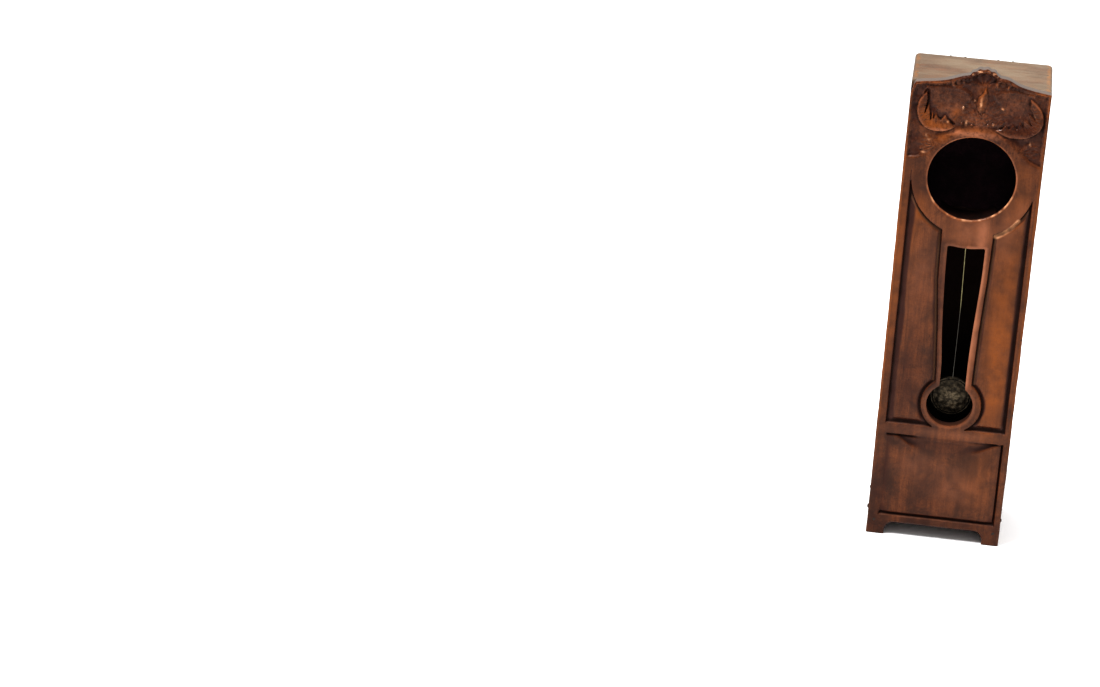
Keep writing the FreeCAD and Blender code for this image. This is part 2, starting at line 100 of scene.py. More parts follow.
# ---- mesh fineness ----
STEP_X = 0.4
STEP_PLAIN = 0.55
STEP_CARVED = 0.3
SNAP_EDGE, SNAP_SPINE, SNAP_LEAF = STEP_PLAIN * 0.56, STEP_PLAIN * 0.45, STEP_CARVED * 0.5
CARVED_FROM = 226   # height above which the grid is finer
CREST_FROM = 229    # height above which the carving's wear differs from the plain part's
BOB_RINGS, BOB_SPOKES = 60, 168
PAD_COLS, PAD_ROWS = 96, 150
WELD_DISTANCE = 1e-6
BOARD_BEVEL, STRIP_BEVEL = 0.5, 0.35


# ---- small maths ----

def ease(a, b, t):
    """Smooth step from 0 at a to 1 at b, either way round."""
    u = np.clip((t - a) / (b - a), 0, 1)
    return u * u * (3 - 2 * u)


def blend(a, b, amount):
    """a where amount is 0, b where it is 1."""
    return a + (b - a) * amount


def hashed(ix, iz, seed):
    """Repeatable random number from 0 to 1 for each whole-number place."""
    v = np.sin(ix * 127.1 + iz * 311.7 + seed * 74.7) * 43758.5453
    return v - np.floor(v)


def noise(x, z, size, seed):
    """Smooth value noise from -1 to 1, its features about size wide. Each use has its own seed."""
    gx, gz = x / size, z / size
    ix, iz = np.floor(gx), np.floor(gz)
    fx, fz = ease(0, 1, gx - ix), ease(0, 1, gz - iz)
    low = hashed(ix, iz, seed) * (1 - fx) + hashed(ix + 1, iz, seed) * fx
    high = hashed(ix, iz + 1, seed) * (1 - fx) + hashed(ix + 1, iz + 1, seed) * fx
    return 2 * (low * (1 - fz) + high * fz) - 1


def smooth_path(points, per=8):
    """Catmull-Rom curve through the points, as a list of points."""
    p = [np.array(q, float) for q in points]
    p = [2 * p[0] - p[1]] + p + [2 * p[-1] - p[-2]]
    out = []
    for i in range(1, len(p) - 2):
        a, b, c, d = p[i - 1:i + 3]
        for k in range(per):
            t = k / per
            out.append(0.5 * (2 * b + (c - a) * t + (2 * a - 5 * b + 4 * c - d) * t ** 2
                              + (3 * b - a - 3 * c + d) * t ** 3))
    out.append(p[-2])
    return [tuple(q) for q in out]


def closed_path(points, per):
    """Curve through the points and back to the first, without repeating it."""
    return smooth_path(points + points[:1], per)[:-1]


def arc_points(cx, cz, rx, rz, start, end, count):
    """Points of an ellipse's arc, from start to end in degrees."""
    angles = np.radians(np.linspace(start, end, count))
    return [(cx + rx * math.cos(a), cz + rz * math.sin(a)) for a in angles]


def to_segment(x, z, a, b):
    """Squared distance to the straight line from a to b."""
    ex, ez = b[0] - a[0], b[1] - a[1]
    t = np.clip(((x - a[0]) * ex + (z - a[1]) * ez) / (ex * ex + ez * ez), 0, 1)
    return (x - a[0] - t * ex) ** 2 + (z - a[1] - t * ez) ** 2


def away(x, z, points):
    """Distance to an open line through the points."""
    best = np.full(x.shape, FAR)
    for a, b in zip(points, points[1:]):
        best = np.minimum(best, to_segment(x, z, a, b))
    return np.sqrt(best)


def sd_polygon(x, z, points):
    """Signed distance to a closed polygon, negative inside."""
    best = np.full(x.shape, FAR)
    inside = np.zeros(x.shape, bool)
    for a, b in zip(points[-1:] + points[:-1], points):
        if math.dist(a, b) < SAME_POINT:
            continue
        best = np.minimum(best, to_segment(x, z, a, b))
        if a[1] != b[1]:
            crossing_x = a[0] + (z - a[1]) / (b[1] - a[1]) * (b[0] - a[0])
            inside ^= ((a[1] > z) != (b[1] > z)) & (x < crossing_x)
    return np.where(inside, -1, 1) * np.sqrt(best)


def sd_any(x, z, outlines):
    """Signed distance to the nearest of several polygons."""
    return np.minimum.reduce([sd_polygon(x, z, outline) for outline in outlines])


def sd_circle(x, z, cx, cz, r):
    """Signed distance to a circle, negative inside."""
    return np.hypot(x - cx, z - cz) - r


def sd_box(x, z, bounds):
    """Signed distance to an upright rectangle, negative inside."""
    x0, x1, z0, z1 = bounds
    dx = np.maximum(x0 - x, x - x1)
    dz = np.maximum(z0 - z, z - z1)
    outside = np.hypot(np.maximum(dx, 0), np.maximum(dz, 0))
    return np.where((dx > 0) | (dz > 0), outside, np.maximum(dx, dz))


# ---- outline and openings of the front panel ----

def outline_points():
    """Outline of the front panel: feet and arch, right side, crest, left corner."""
    arches = [arc_points(x, ARCH_SPRING_Z, ARCH_CORNER, ARCH_Z - ARCH_SPRING_Z, start, start - 90, 8)
              for x, start in ((ARCH_LEFT + ARCH_CORNER, 180), (ARCH_RIGHT - ARCH_CORNER, 90))]
    spread = math.degrees(math.acos((CREST_RIGHT[0][0] - KNOB_X) / KNOB_R))
    knob_rim = arc_points(KNOB_X, KNOB_Z, KNOB_R, KNOB_R, 180 - spread, spread, 24)
    crest = smooth_path(CREST) + knob_rim + smooth_path(CREST_RIGHT)
    return ([(-HALF, 0), (ARCH_LEFT, 0)] + arches[0] + arches[1] + [(ARCH_RIGHT, 0), (HALF, 0)]
            + (WORN_CORNER + crest)[::-1])


OUTLINE = outline_points()
SLOT = (smooth_path(SLOT_LEFT)[::-1]
        + arc_points(RING_X, DIAL_Z, SLOT_TOP_R, SLOT_TOP_R, 256, 284, 9)[1:-1]
        + smooth_path(SLOT_RIGHT))


def openings(x, z):
    """Distance outside the dial opening and the keyhole, as a pair."""
    dial = sd_circle(x, z, 0, DIAL_Z, DIAL_R)
    keyhole = np.minimum(sd_polygon(x, z, SLOT), sd_circle(x, z, BOB_HOLE_X, BOB_HOLE_Z, BOB_HOLE_R))
    return dial, keyhole


def round_knob(x, z):
    """Distance from the knob's middle, and the angle round it."""
    return np.hypot(x - KNOB_X, z - KNOB_Z), np.arctan2(z - KNOB_Z, x - KNOB_X)


def knob_scallop(x, z):
    """The knob's rim is cut into small beads."""
    r, angle = round_knob(x, z)
    near = ease(4, 1.5, np.abs(r - KNOB_R))
    return near * ease(0.55, 0.8, np.sin(angle)) * 0.28 * np.cos(angle * KNOB_BEADS)


def board(x, z):
    """Signed distance to the front panel's wood, negative in the wood."""
    edge = sd_polygon(x, z, OUTLINE) + knob_scallop(x, z)
    edge = edge + 0.12 * noise(x, z, 9, 3) * ease(2, 12, z)
    dial, keyhole = openings(x, z)
    chips = 0.22 * ease(0.1, 0.8, noise(x, z, 1.3, 11)) * ease(214, 205, z)
    return np.maximum(edge, np.maximum(-dial + chips, -keyhole))


# ---- relief: depth below the front plane, in millimetres ----

STILE = 0.2
RING_LEVEL = 0.1
FIELD_LEVEL = 0.5
GROOVE_LEVEL = 1.6
EDGE_WEAR = 0.35
DEEPEST = 3
# Painted shade given to the walls of the panel's outline and openings.
WALL_SHADE = 0.3
NAIL_RIM, NAIL_PIT, NAIL_MARK = 0.08, 0.75, 0.1
NECK = (178, 192)   # heights between which the fields' edge turns from a soft slope into the ring's bevel


def spine_distance(x, z):
    """Distance outside the ring, spine and bob ring."""
    return np.minimum.reduce([sd_circle(x, z, RING_X, DIAL_Z, RING_R), sd_polygon(x, z, SPINE),
                              sd_circle(x, z, BOB_RING_X, BOB_HOLE_Z, BOB_RING_R)])


def field_wave(x, z):
    """The fields' outer edges were cut by eye: how far they wander, in millimetres."""
    return 0.8 * noise(x, z, 22, 23)


def upper_fields(x, z, depth):
    """Sunk ground round the spine, rising from V-shaped grooves to a field on each side."""
    window = -sd_box(x, z, WINDOW)
    spine = spine_distance(x, z)
    upper = ease(*NECK, z)
    left_groove, right_groove, bottom_groove = x - WINDOW[0], WINDOW[1] - x, z - WINDOW[2]
    wave = field_wave(x, z)
    outer = np.minimum((left_groove - 2.5 - wave) / 3.2, (right_groove - 1.5 - wave / 2) / 2.4)
    outer = np.minimum(outer, (bottom_groove - 2.1 - wave / 2) / 2.6)
    beside = (spine - np.where(x < 0, 1, 0.8)) / 2.7 + 0.05 * noise(x, z, 11, 24)
    bevel = (spine - 1.1) / np.where(x < 0, 1.4, 1.8)
    rise = np.clip(np.minimum(outer, blend(beside, bevel, upper)), 0, 1)
    rise = blend(rise, ease(0, 1, rise), 1 - upper)
    sunk = blend(GROOVE_LEVEL, FIELD_LEVEL, rise)
    sunk = sunk + 0.1 * noise(x, z, 6, 21) + 0.05 * noise(x, z / 6, 2.2, 22)
    wall = np.minimum(ease(-0.1, 0.6, window), ease(-0.1, 0.6, spine))
    return blend(depth, sunk, wall)


def off_middle(x, bounds):
    """0 in the middle of a panel's width, 1 at its sides."""
    x0, x1 = bounds[:2]
    return np.abs((x - (x0 + x1) / 2) / ((x1 - x0) / 2))


def scoop(x, z):
    """1 along the rim of the drape-shaped hollow that hangs from the lower panel's upper edge."""
    z1 = LOWER[3]
    u = off_middle(x, LOWER) / np.where(x < 0, 0.84, 0.94)
    edge = z1 - 12 + 11.5 * u ** 1.6 + 0.4 * noise(x, z, 6, 33)
    crisp = 1.3 + 7 * ease(0.75, 0.25, u)
    rim = 0.45 + 0.55 * ease(6, 1, z - edge) * ease(0.2, 0.5, u)
    return ease(-0.3, 1, (z - edge) / crisp) * rim * ease(1, 0.94, u) * (z < z1)


def lower_panel(x, z, depth):
    """Cushion panel: soft on its left, in a crisp groove on its right and along its foot."""
    inside = -sd_box(x, z, LOWER)
    x0, x1, z0, z1 = LOWER
    u = off_middle(x, LOWER)
    foot = z - z0 - 0.5 * np.cos((x - 4) / 24) - 0.15 * noise(x, z, 16, 31)
    groove = np.maximum.reduce([
        ease(1.7, 0.2, x1 - x),
        ease(2.3, 0.3, foot),
        0.7 * ease(1.7, 0.4, z1 - z) * ease(0.2, 0.6, u) * np.where(x < 0, 1, 0.5)])
    cushion = 0.22 + 0.6 * ease(8, 0, x - x0) + 0.45 * ease(8, 0, x1 - x)
    cushion = cushion + 0.5 * ease(10, 0, z - z0) + 0.7 * scoop(x, z)
    surface = np.minimum(cushion + (GROOVE_LEVEL - 0.3) * groove, GROOVE_LEVEL + 0.1)
    surface = surface + 0.07 * noise(x, z, 8, 32)
    top_blend = np.where(z > z1 - 2.5, ease(0.15, 0.6, u), 1)
    wall = np.minimum(ease(-0.2, 0.7, inside), ease(0, 2.4, x - x0)) * top_blend
    return blend(depth, surface, wall)


# Left and right crescent leaf: smooth outer edge from tip to tail, then teeth from tail to tip.
LEAF_EDGES = [
    ([(-28.4, 267.4), (-30.3, 264.9), (-32, 262.3), (-32.8, 259.5), (-33, 256.5), (-32.5, 253.2),
      (-31.1, 250.2), (-28.8, 247.5), (-25.7, 245.8), (-21.8, 245.1), (-17.5, 245.5), (-14.3, 246.8),
      (-12, 248.4)],
     [(-14.5, 250.6), (-16.2, 252.2), (-17.7, 254.7), (-19.9, 251.6), (-21.6, 253), (-22.6, 255.6),
      (-23.8, 252.2), (-24.4, 257.6), (-25.3, 250.9), (-26.8, 261.2), (-28.7, 255), (-27.7, 263.2)]),
    ([(26.9, 267.9), (29.4, 266.2), (31.9, 263.7), (33.7, 261), (34.8, 257.5), (34.7, 253.8), (33.3, 250.6),
      (30.8, 248.2), (27.9, 246.4), (24.3, 245.3), (20, 245), (16, 245.6), (12.5, 247.2), (9.8, 248.6)],
     [(13, 249.8), (14.8, 251.9), (17, 250), (18.5, 252.9), (21.1, 250.4), (22.4, 254.6), (24.3, 251.7),
      (24.6, 256.8), (28.5, 253.2), (25.9, 260.1), (30.2, 256.7), (27, 262.6)])]
# Hollows that the leaves lie in: outline and deepest point, and how far that point's dip reaches.
BOWLS = [
    ([(-29.5, 270.6), (-20, 271.2), (-12, 270.9), (-6.5, 269.3), (-4.3, 266.5), (-6.5, 262.6),
      (-9.6, 258.6), (-10.6, 253.4), (-11.8, 249.6), (-16, 248), (-25, 248.5), (-30.5, 256), (-30.5, 264)],
     (-17.6, 261)),
    ([(29, 271), (20, 271.6), (12, 271.3), (7.6, 270), (7, 267), (10.6, 263.2), (13, 259), (12.6, 254),
      (11, 249.8), (16, 248), (25, 248), (31.5, 256), (29.5, 264.5)], (19.6, 261))]
BOWL_R = 12.5
# Beside each leaf the hollow is cut down to this depth, and the leaf's ribs fan out from this height.
UNDERCUTS = (1.8, 1.45)
RIBS_Z = 258
# Petals round the flower's root: tip, width, height.
ROOT = (1.3, 250.6)
PETALS = [
    ((-2.4, 267.4), 4.2, 0.35), ((-4.6, 265), 4.2, 0.4), ((-7.2, 262.6), 4.4, 0.45),
    ((-9.4, 259.4), 4.6, 0.5), ((-9.6, 255), 4.8, 0.45), ((6, 268.4), 4.2, 0.2), ((9.4, 266), 4.8, 0.22),
    ((12.4, 262.6), 5.2, 0.28), ((14.4, 258), 5.2, 0.3), ((13.8, 253.6), 4.6, 0.35)]
# Flame bud: outline and keel.
BUD = [
    (0.9, 256.6), (-1, 259.4), (-1.7, 262.8), (-1.1, 266.2), (0.7, 268.4), (2.4, 272.3), (3.7, 268.8),
    (4.4, 265.2), (3.6, 261.2), (2.2, 257.4)]
BUD_KEEL = [(0.9, 256), (0.3, 260), (0.9, 264), (2.4, 271)]
# Beads and rosette: x, z, radius.
BEADS = [
    (-5.9, 251.6, 1), (-8.5, 259.9, 0.8), (-2.8, 264.3, 0.7), (12.6, 261, 0.8), (5.4, 250.9, 0.8),
    (8.4, 251.6, 0.9), (-3.2, 250.4, 0.8), (-8.4, 250.6, 0.8)]
ROSETTE = (1.8, 254.2, 4)
# Corner leaves: root beside the ring, then angle, length and width of each rib.
CORNERS = [
    ((-21.8, 236.9), 0.55, [(131, 7.8, 2.2), (152, 7.2, 2.8), (176, 7.6, 3), (199, 8.4, 3), (218, 10, 2.4)]),
    ((22.6, 236.6), 0.34, [(44, 9.6, 2.6), (27, 11.4, 3), (8, 11.6, 3.2), (-11, 10.4, 3.2), (-31, 8.2, 2.6)])]
# Scrolls under the crest: middle, radius of the roll, width of the roll, height.
SCROLLS = [
    (-12.4, 273.9, 2.9, 1, 0.9), (-7.9, 275.3, 2.1, 0.9, 0.55), (11.2, 274.7, 2.9, 1, 0.7),
    (16.6, 273, 2.1, 0.9, 0.5)]
# Outlines of the carved zone, left and right.
GROUND_EDGES = [
    [(-40, 229.2), (-31, 229.6), (-26.5, 231.6), (-22.4, 234.4), (-18, 238), (-13, 243.5), (-6, 247.4),
     (-6, 290), (-40, 290)],
    [(40, 229.6), (35, 230.2), (30, 232), (25.5, 235.4), (21, 239.6), (16, 243.8), (8, 247.4), (-8, 247.4),
     (-8, 290), (40, 290)]]


def petal(x, z, root, tip, width):
    """Raised petal: 1 along its middle and 0 at its edge, and the distance beside its middle."""
    ex, ez = tip[0] - root[0], tip[1] - root[1]
    length = math.hypot(ex, ez)
    along = ((x - root[0]) * ex + (z - root[1]) * ez) / length ** 2
    beside = ((x - root[0]) * -ez + (z - root[1]) * ex) / length
    spread = width / 2 * np.sin(np.pi * np.clip(along, 0, 1) ** 1.5) ** 0.75
    inside = (along > 0.02) & (along < 1)
    return np.where(inside, np.clip(1 - (beside / (spread + 1e-3)) ** 2, 0, 1), 0), beside


def leaves():
    """Closed outline of each crescent leaf."""
    return [smooth_path(outer) + teeth for outer, teeth in LEAF_EDGES]


def leaf_distance(x, z):
    """Signed distance to the nearer crescent leaf."""
    return sd_any(x, z, leaves())


def flower_height(x, z):
    """Height of the fan of petals, the flame bud, the rosette and the beads."""
    raised = np.zeros(x.shape)
    for tip, width, high in PETALS:
        shape, beside = petal(x, z, ROOT, tip, width)
        vein = 0.16 * np.clip(1 - np.abs(beside) / 0.6, 0, 1)
        raised = np.maximum(raised, high * shape ** 0.8 - vein * shape)
    knobbly = 0.34 * noise(x, z, 2.1, 46) + 0.24 * noise(x, z, 1.1, 47)
    raised = raised + knobbly * ease(0.05, 0.4, raised)
    bud = -sd_polygon(x, z, closed_path(BUD, 4))
    keel = np.clip(1 - away(x, z, BUD_KEEL) / 2.4, 0, 1)
    raised = np.maximum(raised, ease(-0.1, 0.6, bud) * (0.5 + 0.95 * keel))
    mx, mz, radius = ROSETTE
    r = np.hypot(x - mx, z - mz) / radius
    turn = np.arctan2(z - mz, x - mx)
    grains = np.cos(turn * 9 + 1) * ease(0.2, 0.6, r)
    raised = np.maximum(raised, ease(1, 0.72, r) * (0.8 + 0.22 * grains - 0.35 * ease(0.3, 0.12, r)))
    for bx, bz, br in BEADS:
        raised = np.maximum(raised, 0.95 * np.clip(1 - (np.hypot(x - bx, z - bz) / br) ** 2, 0, 1) ** 0.5)
    return raised


def knob(x, z, depth):
    """Shell in the crest's knob: beaded rim, sunk and lightly fluted inside."""
    r, angle = round_knob(x, z)
    up = ease(0.3, 0.6, np.sin(angle))
    rim = np.clip(1 - np.abs(r - (KNOB_R - 1)) / 1.1, 0, 1) ** 0.6
    beads = rim * (0.5 + 0.45 * np.cos(angle * KNOB_BEADS))
    dish = ease(KNOB_R - 1.9, KNOB_R - 3.2, r) * (0.5 + 0.16 * np.cos(angle * 11))
    return depth + up * (dish - 0.7 * beads) * ease(KNOB_Z + 0.5, KNOB_Z + 3, z)


def carved_ground(x, z):
    """Surface that the leaves and flowers stand on, before they are added."""
    ring = np.hypot(x - RING_X / 2, z - DIAL_Z)
    rim = -sd_polygon(x, z, OUTLINE)
    ground = 0.2 + 1.2 * ease(0.5, 2.7, rim) * ease(26.5, 32.5, ring)
    for bowl, middle in BOWLS:
        zone = sd_polygon(x, z, closed_path(bowl, 5))
        reach = np.clip(1 - (np.hypot(x - middle[0], z - middle[1]) / BOWL_R) ** 2, 0, 1)
        dish = 0.5 + 1.1 * reach ** 0.9 + 0.12 * noise(x, z, 5, 45)
        ground = blend(ground, dish, ease(0.6, -1.2, zone))
    return ground


def bowl_zone(x, z):
    """Signed distance to the nearer bowl."""
    return sd_any(x, z, [bowl for bowl, middle in BOWLS])


def carving(x, z, depth):
    """Crest and spandrels above the dial."""
    wx = x + 0.25 * noise(x, z, 5, 41)
    wz = z + 0.25 * noise(x, z, 5, 42)
    carved = carved_ground(wx, wz)
    leaf = np.full(x.shape, FAR)
    for (outer, teeth), outline, cut in zip(LEAF_EDGES, leaves(), UNDERCUTS):
        this = sd_polygon(x, z, outline)
        from_rim = away(x, z, smooth_path(outer))
        turn = np.arctan2(z - RIBS_Z, x - outer[0][0] * 0.8)
        ribs = (0.09 * np.cos(turn * 34) + 0.05 * np.cos(turn * 57)) * ease(1.2, 3, from_rim)
        top = 0.15 + 0.6 * ease(1, 6, from_rim) + ribs
        undercut = ease(2.4, 0.4, this) * ease(0.4, -0.6, bowl_zone(x, z))
        carved = blend(carved, cut, undercut)
        carved = blend(carved, top, ease(0.15, -0.4, this))
        leaf = np.minimum(leaf, this)
    carved = carved - flower_height(wx, wz) * ease(-0.2, 0.6, leaf)
    for root, high, ribs in CORNERS:
        for angle, length, width in ribs:
            tip = arc_points(*root, length, length, angle, angle, 1)[0]
            shape, beside = petal(wx, wz, root, tip, width)
            vein = 0.25 * np.clip(1 - np.abs(beside) / 0.5, 0, 1) * shape
            carved = carved - high * (shape ** 0.8 - vein)
    for cx, cz, radius, roll, high in SCROLLS:
        r = np.hypot(wx - cx, wz - cz)
        band = np.clip(1 - ((r - radius) / roll) ** 2, 0, 1) ** 0.5
        open_side = ease(-0.2, 0.5, -np.cos(np.arctan2(wz - cz, wx - cx) + 0.6))
        carved = carved - high * band * (0.35 + 0.65 * open_side) - 0.6 * high * ease(radius * 0.7, 0, r)
    carved = knob(x, z, carved)
    carved = carved + 0.09 * noise(x, z, 1.4, 43) + 0.14 * noise(x, z, 3.4, 44)
    carved = np.clip(carved, 0.05, 2.9)
    return blend(depth, carved, ease(0.8, -1.2, sd_any(wx, wz, GROUND_EDGES)))


# Patches of stain and wear, partly painted light and shade: x, z, half-width, half-height, amount.
LIGHT_PATCHES = [
    (3, 250.2, 4, 0.7, 0.8), (3, 254.5, 8, 4.5, 0.5), (19, 261, 6.5, 6.5, 0.45), (-17, 258, 6, 5, 0.3),
    (-24.5, 239.4, 1.8, 0.8, 0.3), (-27, 233, 2, 0.9, 0.3), (29, 242.6, 0.8, 1.2, 0.5),
    (2, 190, 13, 9, 0.35), (9.5, 148, 3.2, 42, 1), (0, 245.4, 15, 1.8, 1), (-19, 246.2, 8, 0.9, 0.7),
    (22, 246, 7, 0.9, 0.4), (-24, 158, 5, 30, 0.15), (2, 66.5, 30, 2.6, 0.25), (22, 190, 5, 16, 0.3),
    (-17, 160, 6, 30, 0.15), (8, 34, 16, 12, 0.25), (-14, 46, 12, 8, 0.2), (29, 202, 4, 8, 0.25)]
# Painted highlights on the highest carving.
GLINTS = [
    (0.7, 263.2, 0.6, 2.6, 0.8), (-6, 251.5, 0.6, 1.2, 1.1), (-8.4, 259.8, 0.5, 0.8, 0.8),
    (12.6, 261.2, 0.8, 0.6, 0.6), (-26.6, 242.2, 0.6, 0.9, 0.6), (-25, 240.2, 1.2, 0.5, 0.4),
    (-27.6, 232.6, 1, 0.5, 0.4), (29, 242.4, 0.5, 1, 0.4), (-2.6, 264.4, 0.5, 0.6, 0.5),
    (29.5, 258.6, 0.5, 0.6, 0.5), (-16, 251.2, 0.6, 0.5, 0.4), (8.3, 251.6, 0.5, 0.5, 0.5)]
# Line of light on the bevel under the ring, at the right.
BEVEL_LIGHT = [(16.4, 187.6), (20, 189.6), (24, 193.2), (27.6, 198)]
WARM_PATCHES = [
    (25, 150, 9, 55, 0.6), (27, 100, 7, 30, 0.5), (-30, 150, 2.5, 60, 0.35), (-34.8, 160, 2.6, 70, 0.6),
    (-27, 198, 5, 9, 0.5), (0, 190, 14, 8, 0.3), (-19, 242.5, 6, 3, 0.8), (1, 263.5, 2.4, 6.5, 1.2),
    (-12.3, 273.6, 2.2, 2.6, 1.1), (-11.6, 256, 2.4, 3.4, 0.9), (-28, 253, 5, 8, 0.75),
    (-18, 248, 8, 2.6, 0.7), (0, 246.6, 15, 2.4, 0.85), (13, 275.5, 3.5, 2.2, 0.5),
    (-28, 272.6, 9, 0.9, 0.8), (31, 256, 3, 8, 0.35), (-25.5, 238, 2.6, 4, 0.15), (29, 228, 6, 8, 0.3),
    (31, 271.2, 6, 0.8, 0.5), (20, 36, 12, 18, 0.25), (24, 120, 6, 50, 0.3), (26, 205, 6, 14, 0.35),
    (8, 150, 3, 40, 0.3), (-27, 190, 4, 20, 0.2)]
DARK_PATCHES = [
    (24, 252, 12, 7, 0.85), (18, 243.5, 8, 4, 0.45), (30, 236, 6, 7, 0.3), (-22, 110, 8, 40, 0.35),
    (-29, 266, 5, 6, 0.3), (0, 277, 37, 5, 0.8), (-34.6, 259, 1.7, 12, 1.1), (-33, 239, 5, 9, 0.8),
    (35.6, 259, 1.8, 12, 0.8), (0, 264, 34, 9, 0.4), (2, 254, 12, 4, 0.3), (-9.5, 140, 2.2, 48, 0.5),
    (0, 4, 40, 9, 0.7), (-33, 30, 4, 24, 0.5), (-30, 214, 5, 16, 0.35), (14, 258, 16, 12, 0.15),
    (0, 22, 34, 6, 0.3), (34, 12, 5, 10, 0.4), (-6, 36, 12, 8, 0.25), (31, 240, 7, 8, 0.45),
    (-24, 90, 7, 26, 0.4), (-20, 270, 12, 4, 0.4)]


def patches_at(x, z, patches):
    """Sum of soft uneven patches, from 0 to 1."""
    total = np.zeros(x.shape)
    for cx, cz, rx, rz, amount in patches:
        total = total + amount * np.exp(-((x - cx) / rx) ** 2 - ((z - cz) / rz) ** 2)
    return np.clip(total * (1 + 0.35 * noise(x, z, 5, 61)), 0, 1)


def nail_sinks(x, z, depth):
    """Foot nails show in small pits; those of the stiles are filled over, leaving a mark."""
    for nx, nz in FOOT_NAILS + STILE_NAILS:
        r = np.hypot(x - nx, z - nz)
        depth = blend(depth, NAIL_RIM, ease(1.9, 1.1, r))
        if (nx, nz) in FOOT_NAILS:
            depth = blend(depth, NAIL_PIT, ease(0.95, 0.5, r))
        else:
            depth = depth + NAIL_MARK * ease(0.8, 0.3, r)
    return depth


def relief(x, z):
    """Depth of the front's surface: fields, lower panel, carving, nail pits and worn edges."""
    depth = blend(np.full(x.shape, STILE), RING_LEVEL, ease(0.3, -0.6, spine_distance(x, z)))
    for cut in (upper_fields, lower_panel, carving, nail_sinks):
        depth = cut(x, z, depth)
    dial, keyhole = openings(x, z)
    rim = -sd_polygon(x, z, OUTLINE)
    wear = EDGE_WEAR * (1.1 + 0.5 * noise(x, z, 9, 51))
    depth = depth + wear * np.clip(1 - keyhole, 0, 1) ** 1.5
    depth = depth + (0.3 + wear) * np.clip(1 - dial / 0.8, 0, 1)
    depth = depth + (EDGE_WEAR + 0.25) * ease(1.3, 0, rim) ** 1.6
    return np.clip(depth + 0.03 * noise(x, z / 8, 1.2, 52), 0.02, DEEPEST)


# ---- mesh of the carved front ----

def snapped(x, z, field, reach, fixed):
    """Moves grid points near a field's zero line onto it, except the fixed ones."""
    near = (np.abs(field(x, z)) < reach) & ~fixed
    px, pz = x[near], z[near]
    d = 0.02
    for _ in range(3):
        here = field(px, pz)
        gx = (field(px + d, pz) - field(px - d, pz)) / (2 * d)
        gz = (field(px, pz + d) - field(px, pz - d)) / (2 * d)
        size = np.maximum(gx * gx + gz * gz, 0.25)
        px, pz = px - here * gx / size, pz - here * gz / size
    moved = np.hypot(px - x[near], pz - z[near]) < 1.5 * reach
    x, z, fixed = x.copy(), z.copy(), fixed.copy()
    spots = np.flatnonzero(near.ravel())[moved]
    x.ravel()[spots], z.ravel()[spots] = px[moved], pz[moved]
    fixed.ravel()[spots] = True
    return x, z, fixed


def grid_faces(solid):
    """Quads and triangles of the grid cells whose corners lie in the wood."""
    rows, cols = solid.shape
    index = np.arange(rows * cols).reshape(rows, cols)
    corners = np.stack([index[:-1, :-1], index[:-1, 1:], index[1:, 1:], index[1:, :-1]], -1)
    inside = solid.ravel()[corners]
    count = inside.sum(-1)
    quads = corners[count == 4].tolist()
    for cell, keep in zip(corners[count == 3], inside[count == 3]):
        quads.append(cell[keep].tolist())
    return quads


def blurred(field, reach):
    """Mean over a square window, by running sums along both axes."""
    out = field.astype(float)
    for axis in (0, 1):
        pad = [(reach + 1, reach) if a == axis else (0, 0) for a in (0, 1)]
        total = np.cumsum(np.pad(out, pad, mode="edge"), axis=axis)
        size = out.shape[axis]
        high = np.take(total, range(2 * reach + 1, 2 * reach + 1 + size), axis=axis)
        low = np.take(total, range(0, size), axis=axis)
        out = (high - low) / (2 * reach + 1)
    return out


def open_edges(faces):
    """Edges used once, each pointing the way its face runs."""
    used = {}
    for f in faces:
        for a, b in zip(f, f[1:] + f[:1]):
            used[(a, b)] = True
    return [(a, b) for a, b in used if (b, a) not in used]


def put_attribute(mesh, name, values):
    """Stores one number for each point of the mesh, for its material to read."""
    layer = mesh.attributes.new(name, "FLOAT", "POINT")
    layer.data.foreach_set("value", np.asarray(values, np.float32))


def placed(name, data):
    """New object in the scene for a mesh, a light or the camera."""
    obj = bpy.data.objects.new(name, data)
    bpy.context.scene.collection.objects.link(obj)
    return obj


def cleaned(mesh, merge, sharp, back_edges=()):
    """Fills the back, merges doubled points, turns the faces out and smooths them."""
    bm = bmesh.new()
    bm.from_mesh(mesh)
    if back_edges:
        bm.verts.ensure_lookup_table()
        loops = [bm.edges.get((bm.verts[a], bm.verts[b])) for a, b in back_edges]
        bmesh.ops.triangle_fill(bm, edges=loops, use_beauty=False)
    bmesh.ops.remove_doubles(bm, verts=bm.verts, dist=merge)
    bmesh.ops.recalc_face_normals(bm, faces=bm.faces)
    bm.to_mesh(mesh)
    bm.free()
    mesh.shade_smooth()
    mesh.set_sharp_from_angle(angle=math.radians(sharp))
    return mesh


def front_grid():
    """Grid pulled onto the edges of the panel, the spine and the leaves, and where it is wood."""
    xs = np.arange(-HALF, HALF + STEP_X / 2, STEP_X)
    plain = np.arange(0, CARVED_FROM, STEP_PLAIN)
    zs = np.concatenate([plain, np.arange(CARVED_FROM, KNOB_Z + KNOB_R + 1, STEP_CARVED)])
    x, z = np.meshgrid(xs, zs)
    x, z, fixed = snapped(x, z, board, SNAP_EDGE, np.zeros(x.shape, bool))
    solid = fixed | (board(x, z) <= 0)
    below = fixed | (z > WINDOW[3])
    x, z, touched = snapped(x, z, spine_distance, SNAP_SPINE, below)
    above = fixed | (touched & ~below) | (z < CARVED_FROM)
    x, z, touched = snapped(x, z, leaf_distance, SNAP_LEAF, above)
    return x, z, solid


